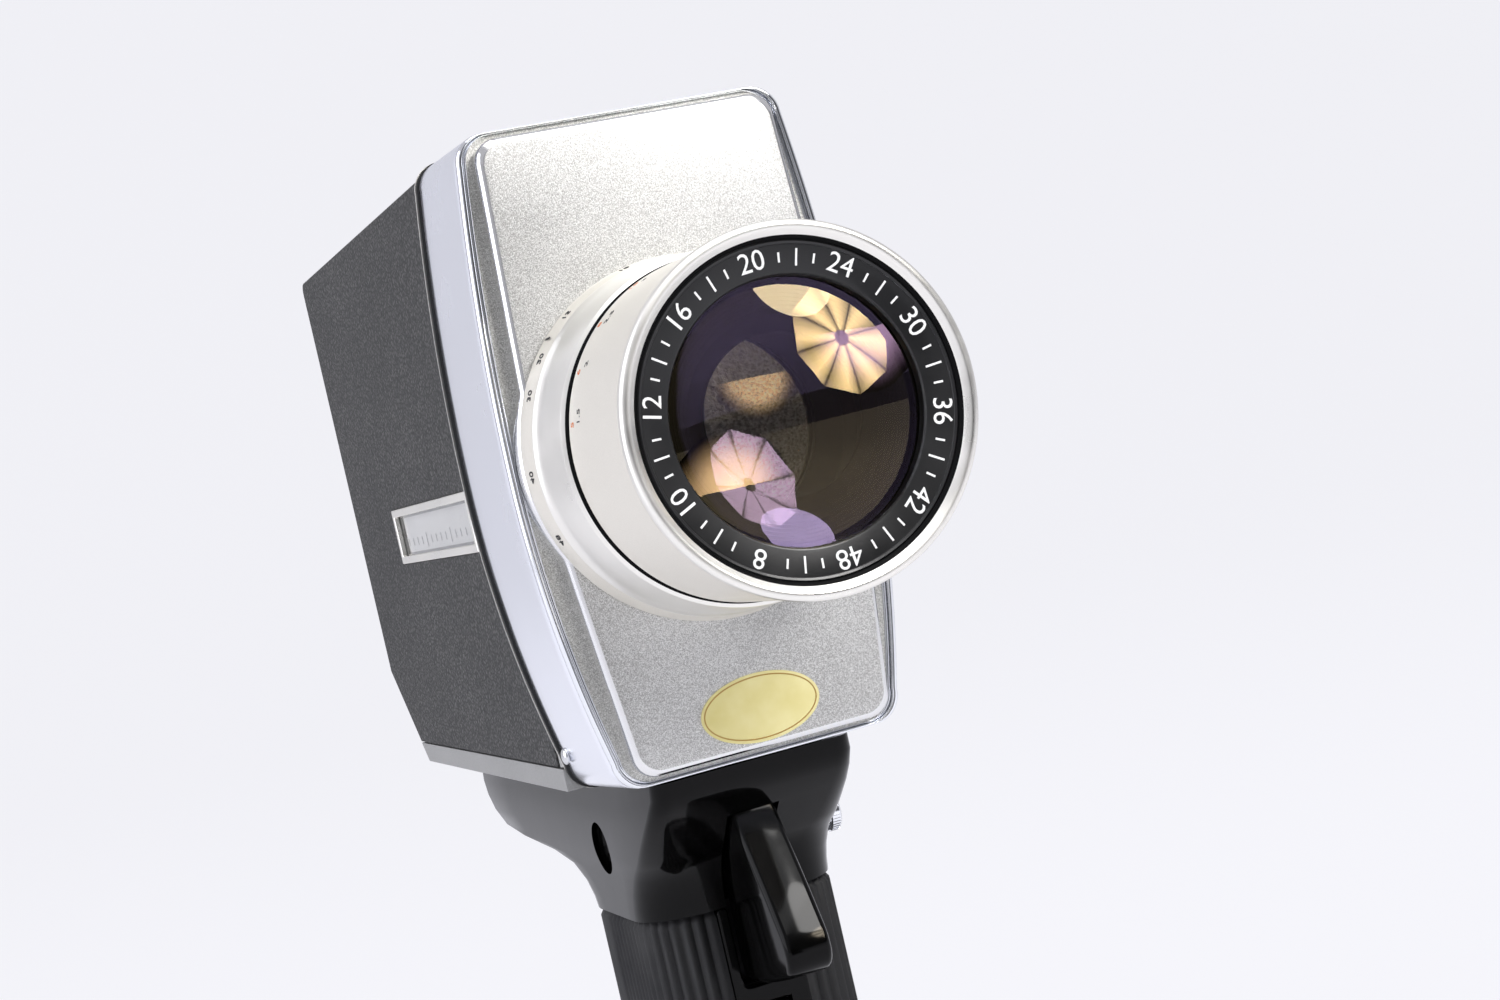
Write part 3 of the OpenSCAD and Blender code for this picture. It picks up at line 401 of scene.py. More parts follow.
def softened(node, name, material, body, width, segments=3):
    """A copy of a CAD part with its triangles merged into plain faces and its edges rounded by a bevel."""
    bm = bmesh.new()
    bm.from_mesh(NODES[node].data)
    bmesh.ops.remove_doubles(bm, verts=bm.verts, dist=2e-6)
    bmesh.ops.dissolve_limit(bm, angle_limit=math.radians(1.5), verts=bm.verts, edges=bm.edges)
    piece = object_of(bm, name, material, body, (node,), 35)
    rounded_edges(piece, width, segments)
    return piece


def lettering(text, name, size, place, turn, material, body, depth=0.06 * MM):
    """Plain numbers, made as flat raised paint: drawn facing -Y, turned and moved by a matrix, then made a mesh."""
    curve = bpy.data.curves.new(name, "FONT")
    curve.body, curve.size, curve.extrude, curve.align_x, curve.align_y = text, size, depth, "CENTER", "CENTER"
    curve.resolution_u = 3
    maker = placed(name + "_curve", curve)
    mesh = bpy.data.meshes.new_from_object(maker)
    bpy.data.objects.remove(maker)
    mesh.name = name
    mesh.transform(Matrix.Translation(place) @ turn)
    bm = bmesh.new()
    bm.from_mesh(mesh)
    return object_of(bm, name, material, body, (), 30)


def ticks(name, rows, material, body):
    """Small blocks of paint in one piece: each row gives a matrix and the block's three sizes."""
    bm = bmesh.new()
    for matrix, sizes in rows:
        made = bmesh.ops.create_cube(bm, size=1.0)["verts"]
        bmesh.ops.transform(bm, matrix=matrix @ Matrix.Diagonal((*sizes, 1)), verts=made)
    return object_of(bm, name, material, body, (), 30)


def about_axis(angle, radius, y):
    """A frame at a place round the lens axis: its X runs along the circle, its Y points out from the axis and its Z
    faces forward. The angle is counted from the top towards +X."""
    a = math.radians(angle)
    out = Vector((math.sin(a), 0, math.cos(a)))
    along = Vector((math.cos(a), 0, -math.sin(a)))
    front = Vector((0, -1, 0))
    m = Matrix((along, out, front)).transposed().to_4x4()
    m.translation = Vector((0, y, AXIS_Z)) + out * radius
    return m


# ---- front: plate, channel, band ----

PLATE_NUMBERS = (26.5, 28.6, 23.1, 55.4, -53.5, 1.12, 4)


def plate_loop(inset, y):
    """The plate's outline joined with the boss's circle, drawn in by inset metres."""
    out = []
    boss = max(plate_hi.x, 31.1 * MM) - inset
    for x, z in face_outline(*PLATE_NUMBERS, steps=90):
        c = Vector((x, z - AXIS_Z))
        # pulls the point towards the middle by the inset, corner by corner
        c -= Vector((math.copysign(inset, c.x), math.copysign(inset, c.y) * min(1, abs(c.y) / (40 * MM)) ** 6))
        if abs(c.y) < boss:
            c.x = math.copysign(max(abs(c.x), math.sqrt(boss ** 2 - c.y ** 2)), c.x)
        out.append((c.x, y, c.y + AXIS_Z))
    return out


def face_plate():
    """Raised plate: straight polished wall, wide polished bevel, blasted front."""
    back = plate_hi.y
    inset_row = [(0, back), (0, FACE_Y + 1.3 * MM), (0.12 * MM, FACE_Y + 0.75 * MM), (0.45 * MM, FACE_Y + 0.3 * MM),
                 (0.95 * MM, FACE_Y + 0.04 * MM), (1.15 * MM, FACE_Y)]
    bm = loft([plate_loop(i, y) for i, y in inset_row])
    bm.normal_update()
    for f in bm.faces:
        c = f.calc_center_median()
        f.material_index = 0 if abs(f.normal.y) > 0.97 and c.y < FACE_Y + 0.02 * MM else 1
    return object_of(bm, "front_plate_raised", [PLATE_BLAST, EDGE_POLISH], "camera", ("face_plate",),
                     25)


face_plate()


def front_band():
    """The polished band: a smooth wall that widens rearward, with a bead at its rim and a thin inner step."""
    y0, y1 = band_lo.y, band_hi.y
    rows = [(-0.9, y0 + 4 * MM), (-0.9, y0 + 0.5 * MM), (-0.8, y0 + 0.15 * MM), (-0.55, y0), (-0.3, y0 + 0.02 * MM),
            (0.0, y0 + 0.25 * MM), (0.1, y0 + 0.7 * MM), (0.1, y0 + 1.15 * MM), (-0.02, y0 + 1.45 * MM),
            (-0.02, y0 + 1.6 * MM), (0.14, y0 + 1.9 * MM)]
    steps = 14
    for i in range(1, steps + 1):
        t = i / steps
        rows.append((0.14 + 1.06 * t ** 0.9, y0 + 1.9 * MM + (y1 - y0 - 2.3 * MM) * t))
    rows += [(1.1, y1 - 0.1 * MM), (0.9, y1), (0.2, y1), (0.0, y1 - 0.4 * MM), (-0.9, y1 - 0.8 * MM)]
    bm = loft([[(x, y, z) for x, z in band_outline(d)] for d, y in rows], closed=True)
    for f in bm.faces:
        f.material_index = 1 if f.calc_center_median().y < y0 + 1.5 * MM else 0
    return object_of(bm, "band_wall_polished", [BAND_CHROME, BEAD_CHROME], "camera", ("front_band",), 50)


front_band()


def rear_lines():
    """The black seal flush behind the band, and the thin bright trim line behind the seal."""
    y0 = band_hi.y
    for name, material, start, end, d, cad in (("band_seal_flush", SEAL_BLACK, 0.0, 0.85, 1.62, ("band_seal",)),
                                               ("trim_line_bright", TURNED_BRIGHT, 0.85, 1.2, 1.76, ())):
        rows = [(-3.9, y0 + start * MM), (d, y0 + start * MM), (d, y0 + end * MM), (-3.9, y0 + end * MM)]
        bm = loft([[(x, y, z) for x, z in band_outline(k)] for k, y in rows], closed=True)
        object_of(bm, name, material, "camera", cad, 30)


rear_lines()


def panel_lip():
    """A thin raised bright line inside the channel, between the band's bead and the blasted floor."""
    y0 = band_lo.y
    rows = [(-1.0, y0 + 1.2 * MM), (-1.0, y0 + 0.75 * MM), (-1.25, y0 + 0.6 * MM), (-1.5, y0 + 0.75 * MM),
            (-1.6, y0 + 1.2 * MM)]
    bm = loft([[(x, y, z) for x, z in band_outline(d)] for d, y in rows], closed=True)
    return object_of(bm, "channel_lip_bright", BEAD_CHROME, "camera", (), 60)


panel_lip()


def band_screw():
    """Small domed screw near the band's lower rear edge."""
    x, y, z = -27.3 * MM, band_hi.y - 2.3 * MM, AXIS_Z - 49 * MM
    bm = bmesh.new()
    bmesh.ops.create_uvsphere(bm, u_segments=24, v_segments=12, radius=1.5 * MM)
    bmesh.ops.scale(bm, vec=(0.45, 1, 1), verts=bm.verts)
    bmesh.ops.translate(bm, vec=(x - 1.0 * MM, y, z), verts=bm.verts)
    object_of(bm, "band_screw_head", SCREW_STEEL, "camera", (), 60)


band_screw()


# ---- lens ----

R = RIM_R
Y_RIM = rim_lo.y


def focus_barrel():
    """Front barrel: satin wall, brighter flared rim, plain black bore behind the rim."""
    y0, y1 = Y_RIM, rim_hi.y
    r = R - 0.4 * MM
    bore, inner = R - 2.9 * MM, R - 5.44 * MM
    profile = [(bore, y0 + 12 * MM), (bore, y0 + 1.5 * MM), (R - 2.3 * MM, y0 + 0.9 * MM),
               (R - 1.55 * MM, y0 + 0.25 * MM), (R - 1.25 * MM, y0 + 0.03 * MM), (R - 0.95 * MM, y0),
               (R - 0.55 * MM, y0 + 0.06 * MM),
               (R - 0.2 * MM, y0 + 0.28 * MM), (R, y0 + 0.65 * MM), (R, y0 + 1.5 * MM), (R - 0.12 * MM, y0 + 2.1 * MM),
               (R - 0.32 * MM, y0 + 2.9 * MM), (r, y0 + 3.8 * MM), (r, y1 - 4.2 * MM), (r, y1 - 0.7 * MM),
               (r - 0.12 * MM, y1 - 0.3 * MM), (r - 0.5 * MM, y1), (inner, y1), (inner, y0 + 12 * MM)]
    return spun("focus_barrel_satin", profile, [BARREL_SATIN, TURNED_BRIGHT, LENS_BLACK], "focus", 192,
                ("focus_barrel",), 35, bands=[(0, 1, 2), (2, 9, 1), (10, 16, 0), (17, 18, 2)])


focus_barrel()


def zoom_ring():
    """Base ring: numbered satin band next to the plate, bright bevel, stepped dark neck under the barrel."""
    y1 = ring_hi.y
    big = ring_hi.x
    y0 = ring_lo.y
    profile = [(big - 7.8 * MM, y1), (big - 0.6 * MM, y1), (big - 0.15 * MM, y1 - 0.2 * MM), (big, y1 - 0.55 * MM),
               (big, y1 - 1.0 * MM), (big - 0.62 * MM, y1 - 5.7 * MM), (big - 0.7 * MM, y1 - 6.1 * MM),
               (big - 1.0 * MM, y1 - 6.5 * MM), (big - 1.2 * MM, y1 - 9 * MM), (big - 1.8 * MM, y1 - 17.4 * MM),
               (big - 2.0 * MM, y1 - 18.2 * MM), (big - 2.6 * MM, y0 + 0.4 * MM), (big - 3.4 * MM, y0),
               (big - 7.8 * MM, y0)]
    return spun("zoom_ring_satin", profile, [BARREL_SATIN, TURNED_BRIGHT, LENS_BLACK], "zoom", 192,
                ("zoom_ring",), 35, bands=[(0, 0, 1), (1, 4, 0), (5, 8, 1), (9, 10, 1), (11, 13, 2)])


zoom_ring()


def ring_numbers():
    """Plain focal lengths on the zoom ring's rear band, and an index mark on the plate's boss."""
    big = ring_hi.x
    y = ring_hi.y - 3.2 * MM
    for text, angle in (("8", 10), ("10", -14), ("15", -38), ("20", -54), ("30", -66), ("40", -91), ("48", -112)):
        a = math.radians(angle)
        out = Vector((math.sin(a), -0.13, math.cos(a))).normalized()
        along = Vector((math.cos(a), 0, -math.sin(a)))
        up = out.cross(along)
        turn = Matrix((along, -up, out)).transposed().to_4x4()
        place = Vector((math.sin(a) * (big - 0.3 * MM), y, AXIS_Z + math.cos(a) * (big - 0.3 * MM)))
        lettering(text, "zoom_number_" + text, 2.1 * MM, place, turn, FILL_BLACK, "zoom", 0.09 * MM)
    rows = [(about_axis(-47, big - 0.05 * MM, ring_hi.y - 2.4 * MM), (0.35 * MM, 0.16 * MM, 2.6 * MM))]
    ticks("zoom_index_line", rows, FILL_BLACK, "zoom")


ring_numbers()


def distance_scale():
    """Distance numbers near the barrel's rear edge: one row orange and one row black, plain numbers only."""
    r = R - 0.4 * MM
    rows = [("orange", FILL_ORANGE, 2.6, ("5", "6", "8", "10", "15", "30")), ("black", FILL_BLACK, 6.0,
            ("1.5", "2", "2.5", "3", "5", "10"))]
    for kind, paint, back, numbers in rows:
        for i, text in enumerate(numbers):
            angle = -78 + i * 17 if kind == "orange" else -76 + i * 17
            a = math.radians(angle)
            out = Vector((math.sin(a), 0, math.cos(a)))
            along = Vector((math.cos(a), 0, -math.sin(a)))
            turn = Matrix((along, Vector((0, 1, 0)), out)).transposed().to_4x4()
            place = Vector((0, rim_hi.y - back * MM, AXIS_Z)) + out * (r - 0.02 * MM)
            lettering(text, f"distance_{kind}_{i}", 2.2 * MM, place, turn, paint, "focus", 0.05 * MM)


distance_scale()


def name_ring():
    """Black enamelled ring behind the rim, slightly dished, with plain white numbers and ticks round it."""
    outer, inner = R - 2.93 * MM, R - 8.1 * MM
    y = Y_RIM
    profile = [(inner, y + 4.5 * MM), (outer, y + 4.5 * MM), (outer, y + 1.55 * MM), (outer - 0.25 * MM, y + 1.35 * MM),
               (outer - 0.6 * MM, y + 1.5 * MM), (outer - 0.7 * MM, y + 1.66 * MM), (inner + 0.5 * MM, y + 2.2 * MM),
               (inner + 0.25 * MM, y + 2.3 * MM), (inner, y + 2.7 * MM)]
    spun("numbered_front_ring", profile, RING_BLACK, "focus", 192, ("front_ring",), 30)
    mid = (outer + inner) / 2
    tilt = Matrix.Rotation(math.radians(7), 4, "X")
    numbers = ["8", "10", "12", "16", "20", "24", "30", "36", "42", "48"]
    rows = []
    for i, text in enumerate(numbers):
        angle = -150 + i * 36
        m = about_axis(angle, mid, y + 1.93 * MM) @ tilt
        lettering(text, "ring_number_" + text, 4.4 * MM, m.translation, m.to_3x3().to_4x4(), FILL_WHITE, "focus",
                  0.05 * MM)
        for k in (11, 18, 25):
            n = about_axis(angle + k, mid, y + 1.93 * MM) @ tilt
            rows.append((n, (0.32 * MM, (2.6 if k == 18 else 1.5) * MM, 0.12 * MM)))
    ticks("ring_white_ticks", rows, FILL_WHITE, "focus")


name_ring()


GLASS = []


def dome(name, r, y_edge, rise, thickness, back_rise, coats, body, node):
    """A lens element with a domed front and a shallower domed back, each with its own coating, and a blackened edge."""
    steps = 14
    front, back = [], []
    for sign, height, start, row in ((-1, rise, y_edge, front), (1, back_rise, y_edge + thickness, back)):
        big = (r * r + height * height) / (2 * height)
        for i in range(steps + 1):
            a = math.asin(r / big) * i / steps
            row.append((max(big * math.sin(a), 1e-6), start + sign * (big * math.cos(a) - (big - height))))
    profile = front + back[::-1]
    bands = [(0, steps - 1, 0), (steps, steps, 2), (steps + 1, 2 * steps, 1)]
    piece = spun(name, profile, [*coats, BAFFLE_BLACK], body, 128, (node,), 60, bands=bands)
    GLASS.append(piece)
    return piece


glass_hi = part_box("front_glass")[1]
dome("front_element_domed", glass_hi.x, Y_RIM + 4.4 * MM, 3.0 * MM, 3 * MM, 1.2 * MM, (AMBER_COAT, VIOLET_COAT),
     "focus", "front_glass")
for cell, coats in (("variator", (BLUE_COAT, AMBER_COAT)), ("compensator", (AMBER_COAT, BLUE_COAT))):
    low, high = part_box(cell + "_glass")
    dome(cell + "_element", high.x, low.y + 1.2 * MM, 1.2 * MM, 3 * MM, 0.8 * MM, coats, cell, cell + "_glass")


def baffle():
    """Matte cone of fine steps between the front glass and the inner cell, in place of a plain bore."""
    y = Y_RIM
    outer = R - 2.95 * MM
    profile = [(12.0 * MM, y + 12 * MM), (outer, y + 12 * MM), (outer, y + 4.55 * MM), (R - 8.1 * MM, y + 4.55 * MM),
               (R - 8.1 * MM, y + 9.0 * MM)]
    steps = 7
    for i in range(steps):
        r = R - 9.0 * MM - i * 0.62 * MM
        profile += [(r, y + (9.0 + i * 0.18) * MM), (r - 0.45 * MM, y + (9.0 + i * 0.18) * MM)]
    profile += [(R - 14.0 * MM, y + 10.6 * MM), (12.0 * MM, y + 10.6 * MM)]
    spun("stepped_black_baffle", profile, BAFFLE_BLACK, "focus", 128, ("front_cell",), 30)


baffle()

# ---- body: casting, coverings, window ----

softened("body_shell", "body_casting_softened", CASTING, "camera", 0.35 * MM)
softened("side_cover_skin", "side_covering_grained", LEATHERETTE, "camera", 0.3 * MM)
softened("film_door_skin", "door_covering_grained", LEATHERETTE, "door", 0.3 * MM)
softened("window_frame", "window_frame_bevelled", TURNED_BRIGHT, "door", 0.28 * MM)
softened("grip_foot", "grip_foot_plate", CASTING, "camera", 0.5 * MM)
softened("battery_door", "battery_lid_moulded", GRIP_BLACK, "battery_lid", 0.4 * MM)
softened("zoom_rocker", "zoom_rocker_moulded", GLOSS_BLACK, "rocker", 0.4 * MM)
softened("speed_dial", "speed_dial_turned", TURNED_BRIGHT, "speed", 0.2 * MM, 2)
softened("dioptre_ring", "dioptre_ring_ribbed", GLOSS_BLACK, "dioptre", 0.25 * MM, 2)
softened("eyecup", "rubber_eyecup", RUBBER, "camera", 0.3 * MM)


def window_lines():
    """A dark inner line round the card, painted shade where the frame meets it, and faint footage marks on the card."""
    lo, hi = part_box("window_card")
    x = lo.x - 0.06 * MM
    mid_z = (lo.z + hi.z) / 2
    rows = []
    for i in range(15):
        y = lo.y + (hi.y - lo.y) * (i + 0.5) / 15
        rows.append((Matrix.Translation((x, y, mid_z - 1.6 * MM)), (0.1 * MM, 0.35 * MM, (1.6 if i % 5 else 3.0) * MM)))
    ticks("card_marks", rows, FILL_BLACK, "door")
    # painted shade: thin black strips along the card's edges, where the frame's shade falls
    edge = []
    for z in (lo.z + 0.25 * MM, hi.z - 0.25 * MM):
        edge.append((Matrix.Translation((x + 0.02 * MM, (lo.y + hi.y) / 2, z)), (0.1 * MM, hi.y - lo.y, 0.5 * MM)))
    for y in (lo.y + 0.25 * MM, hi.y - 0.25 * MM):
        edge.append((Matrix.Translation((x + 0.02 * MM, y, mid_z)), (0.1 * MM, 0.5 * MM, hi.z - lo.z)))
    ticks("card_dark_edge", edge, SEAL_BLACK, "door")


window_lines()


def oval_label():
    """Oval foil label, blank, with a thin raised border line."""
    lo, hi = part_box("oval_label")
    cx, cz = (lo.x + hi.x) / 2, (lo.z + hi.z) / 2
    rx, rz = (hi.x - lo.x) / 2, (hi.z - lo.z) / 2

    def oval(k):
        return [(cx + (rx - k) * math.cos(t), cz + (rz - k) * math.sin(t)) for t in
                (math.tau * i / 96 for i in range(96))]

    bm = prism(oval(0), "y", FACE_Y - 0.01 * MM, FACE_Y - 0.14 * MM)
    object_of(bm, "oval_foil_label", GOLD_FOIL, "camera", ("oval_label",), 20)
    y = FACE_Y - 0.12 * MM
    bm = loft([[(x, h, z) for x, z in oval(k)] for k, h in
               ((0.5 * MM, y), (0.5 * MM, y - 0.05 * MM), (0.72 * MM, y - 0.05 * MM), (0.72 * MM, y))], closed=True)
    object_of(bm, "oval_label_border", BRASS, "camera", (), 40)


oval_label()

# ---- head, trigger and grip ----


def grip_head():
    """Glossy head: a slanted hollow front that runs into the grip, full sides and a rounded rear."""
    top = head_hi.z
    under = band_lo.z - 0.12 * MM

    # rows run from the top down: z, half width, front y, rear y, corner radius at the front and rear
    rows = [(under, 18.7, -41.8, 90.3, 3.2), (top - 3.4 * MM, 18.9, -41.4, 90.2, 3.4),
            (top - 6.5 * MM, 19.3, -38.6, 89.6, 3.8), (top - 9.5 * MM, 19.5, -35.4, 88.0, 4.4),
            (top - 12.5 * MM, 19.5, -32.0, 85.0, 5.2),
            (top - 15.4 * MM, 19.4, -29.0, 78.5, 6.2), (top - 16.8 * MM, 19.3, -27.4, 66.0, 7.0),
            (top - 17.9 * MM, 19.2, -26.2, 44.0, 7.8), (top - 19.6 * MM, 19.1, -24.9, 31.5, 8.8),
            (top - 22.4 * MM, 19.05, -23.4, 25.6, 10.0), (top - 25.2 * MM, 19.0, -22.6, 23.2, 10.8),
            (grip_hi.z, 19.0, -22.4, 22.6, 11.4)]
    loops = []
    for z, w, front, rear, corner in rows:
        loops.append([(x * MM, y * MM, z) for x, y in box_loop(w, front, rear, corner)])
    bm = loft(loops)
    bm.normal_update()
    piece = object_of(bm, "grip_head_gloss", GLOSS_BLACK, "camera", ("grip_head",), 50)
    cut(piece, trigger_slot(), "slot")
    cut(piece, socket_bore(), "bore")
    cut(piece, knob_bore(), "knob")
    return piece


def box_loop(w, front, rear, corner, steps=8, sides=6):
    """A rounded rectangle as (x, y) points, with the same count of points for every size."""
    out = []
    for sx, sy, start in ((1, 1, 0), (-1, 1, 90), (-1, -1, 180), (1, -1, 270)):
        cx = sx * (w - corner)
        cy = (rear - corner) if sy > 0 else (front + corner)
        for i in range(steps + 1):
            a = math.radians(start + 90 * i / steps)
            out.append((cx + corner * math.cos(a), cy + corner * math.sin(a)))
        nx = -1 if start < 180 else 1
        ex, ey = out[-1]
        tx = nx * (w - corner) if start in (0, 180) else ex
        ty = ey if start in (0, 180) else (front + corner if start == 90 else rear - corner)
        for i in range(1, sides):
            out.append((ex + (tx - ex) * i / sides, ey + (ty - ey) * i / sides))
    return out


def cut(piece, tool, name):
    """Cuts a tool bmesh out of a piece and applies it, so the result is one plain mesh."""
    bmesh.ops.recalc_face_normals(tool, faces=tool.faces)
    cutter = placed(name + "_tool", mesh_of(tool, name + "_tool"))
    mod = piece.modifiers.new(name, "BOOLEAN")
    mod.object, mod.operation, mod.solver = cutter, "DIFFERENCE", "EXACT"
    graph = bpy.context.evaluated_depsgraph_get()
    done = bpy.data.meshes.new_from_object(piece.evaluated_get(graph))
    piece.modifiers.clear()
    old = piece.data
    piece.data = done
    done.name = piece.name
    bpy.data.objects.remove(cutter)
    bpy.data.meshes.remove(old)
    shade(piece, 40)


# height of the closed front wall above the trigger, the slot's half width and its floor
SLOT_TOP = 99.6 * MM
SLOT_HALF = 4.9 * MM
SLOT_BACK = grip_lo.y + 6.5 * MM


def trigger_slot():
    """The trigger's slot, open at the front, with a sloped roof."""
    front, low, roof = -60 * MM, 79 * MM, 107.8 * MM
    loop = [(front, low), (SLOT_BACK, low), (SLOT_BACK, roof), (-32.6 * MM, roof), (-34.2 * MM, SLOT_TOP),
            (front, SLOT_TOP + 1.2 * MM)]
    return prism(loop, "x", -SLOT_HALF, SLOT_HALF)


def rod(axis_x0, axis_x1, radius, y, z, steps=40):
    bm = bmesh.new()
    bmesh.ops.create_cone(bm, cap_ends=True, segments=steps, radius1=radius, radius2=radius, depth=axis_x1 - axis_x0)
    bmesh.ops.rotate(bm, cent=(0, 0, 0), matrix=Matrix.Rotation(math.radians(90), 3, "Y"), verts=bm.verts)
    bmesh.ops.translate(bm, vec=((axis_x0 + axis_x1) / 2, y, z), verts=bm.verts)
    return bm


socket_lo, socket_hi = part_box("remote_socket")
knob_lo, knob_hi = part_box("side_button")
SOCKET_Y, SOCKET_Z = (socket_lo.y + socket_hi.y) / 2, (socket_lo.z + socket_hi.z) / 2
KNOB_Y, KNOB_Z = (knob_lo.y + knob_hi.y) / 2, (knob_lo.z + knob_hi.z) / 2


def socket_bore():
    return rod(-30 * MM, socket_lo.x + 3 * MM, 5.0 * MM, SOCKET_Y, SOCKET_Z, 48)


def knob_bore():
    return rod(knob_lo.x + 1 * MM, 30 * MM, 3.1 * MM, KNOB_Y, KNOB_Z, 32)


grip_head()


def turned_x(name, profile, y, z, material, body, replaces, steps=64, smooth=30):
    """A turned part about a line along X. The profile is a closed loop of (radius, x)."""
    bm = turned([(x, y, z + r) for r, x in profile], (0, y, z), (1, 0, 0), steps)
    return object_of(bm, name, material, body, replaces, smooth)


def remote_socket():
    x0, x1 = socket_lo.x, socket_hi.x
    profile = [(1.8 * MM, x1), (4.98 * MM, x1), (4.98 * MM, x0 + 0.3 * MM), (4.7 * MM, x0), (3.6 * MM, x0),
               (3.4 * MM, x0 + 0.5 * MM), (2.3 * MM, x0 + 0.5 * MM), (2.1 * MM, x0 + 0.1 * MM),
               (1.8 * MM, x0 + 0.3 * MM)]
    turned_x("remote_socket_ring", profile, SOCKET_Y, SOCKET_Z, GLOSS_BLACK, "camera", ("remote_socket",))


remote_socket()


def side_knob():
    """Chromed knob with fine straight knurling and a dished end."""
    x0, x1 = knob_lo.x, knob_hi.x
    r = 3.6 * MM
    profile = [(0.01 * MM, x0), (3.0 * MM, x0), (3.0 * MM, x1 - 2.35 * MM), (r - 0.2 * MM, x1 - 2.35 * MM),
               (r, x1 - 2.1 * MM), (r, x1 - 0.5 * MM), (r - 0.4 * MM, x1 - 0.1 * MM), (r - 0.8 * MM, x1),
               (2.2 * MM, x1 - 0.05 * MM), (1.2 * MM, x1 - 0.25 * MM), (0.01 * MM, x1 - 0.32 * MM)]
    turned_x("side_knob_chrome", profile, KNOB_Y, KNOB_Z, BEAD_CHROME, "button", ("side_button",),
             96, 35)
    rows = []
    for i in range(36):
        a = math.tau * i / 36
        m = (Matrix.Translation((x1 - 1.3 * MM, KNOB_Y, KNOB_Z)) @ Matrix.Rotation(a, 4, "X")
             @ Matrix.Translation((0, 0, r)))
        rows.append((m, (1.5 * MM, 0.3 * MM, 0.2 * MM)))
    ticks("side_knob_knurl", rows, BEAD_CHROME, "button")


side_knob()


def trigger():
    """Long trigger: crowned front face, bevelled sides, deep lip at its foot."""
    lo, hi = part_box("trigger")
    pin_lo, pin_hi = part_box("trigger_pin")
    y0, z0 = (pin_lo.y + pin_hi.y) / 2, (pin_lo.z + pin_hi.z) / 2
    side = [(-2.6, 2.2), (-5, -3), (-9, -10), (-14.5, -19), (-18.6, -26.5), (-18.9, -30), (-17.6, -32.4),
            (-15.4, -33.4), (-4, -35.6), (7.5, -36.6), (8.2, -34), (7.6, -20), (6, -8), (3.4, 1), (1.6, 2.8), (-1.2, 3)]
    loop = [(y0 + y * MM, z0 + z * MM) for y, z in rounded(side, 1.6, 3)]
    bm = prism(loop, "x", lo.x, hi.x)
    bevel_across(bm, 1.5 * MM, 4)
    piece = object_of(bm, "trigger_lever_gloss", GLOSS_BLACK, "trigger_lever", ("trigger",), 40)
    cut(piece, rod(-20 * MM, 20 * MM, 1.31 * MM, y0, z0, 24), "pin")
    return piece


trigger()


def grip_shell():
    """Matte grip: rounded column with upright rounded ribs round the front corners and sides, smooth back."""
    x, y, r = 19.0, 22.0, 11.0
    loop = []
    path = box_loop(x - 0.75, -y + 0.75, y - 0.75, r - 0.75, 40, 60)
    total = 0.0
    lengths = [0.0]
    for i in range(1, len(path)):
        total += math.dist(path[i], path[i - 1])
        lengths.append(total)
    for i, (px, py) in enumerate(path):
        q, p = path[(i + 1) % len(path)], path[i - 1]
        n = Vector((q[1] - p[1], p[0] - q[0])).normalized()
        ribbed = abs(px) > 8.2 and py < 8.0
        wave = 0.5 - 0.5 * math.cos(math.tau * lengths[i] / 2.3)
        lift = 0.72 * (wave ** 0.6) if ribbed else 0.72
        loop.append(((px + n.x * lift) * MM, (py + n.y * lift) * MM))
    z0, z1 = grip_lo.z, grip_hi.z
    rows = [(0.55, z0), (0.15, z0 + 0.4 * MM), (0, z0 + 1.0 * MM), (0, (z0 + z1) / 2), (0, z1 - 1.6 * MM),
            (0.5, z1 - 0.8 * MM), (0.9, z1)]
    loops = []
    for inset, z in rows:
        k = 1 - inset / 20
        loops.append([(px * k, py * k, z) for px, py in loop])
    bm = loft(loops)
    piece = object_of(bm, "grip_shell_ribbed", GRIP_BLACK, "camera", ("grip_shell",), 40)
    bez_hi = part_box("trigger_bezel")[1]
    w = bez_hi.x + 0.1 * MM
    cut(piece, prism([(-w, 25.9 * MM), (w, 25.9 * MM), (w, 90 * MM), (-w, 90 * MM)], "y", -30 * MM, bez_hi.y), "bezel")
    h = SLOT_HALF
    cut(piece, prism([(-h, 67 * MM), (h, 67 * MM), (h, 90 * MM), (-h, 90 * MM)], "y", -30 * MM, SLOT_BACK), "slot")
    lid_lo, lid_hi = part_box("battery_door")
    g = 0.3 * MM
    cut(piece, prism([(lid_lo.x - 1.5 * MM, lid_lo.z - g), (lid_hi.x + 1.5 * MM, lid_lo.z - g),
                      (lid_hi.x + 1.5 * MM, lid_hi.z + g), (lid_lo.x - 1.5 * MM, lid_hi.z + g)], "y",
                     17 * MM, 30 * MM), "lid")
    cut(piece, prism([(px * 0.86, py * 0.88) for px, py in [(q[0] * MM, q[1] * MM) for q in
                      box_loop(17, -20, 20, 9, 8, 4)]], "z", 0, 65.9 * MM), "bay")
    return piece


grip_shell()


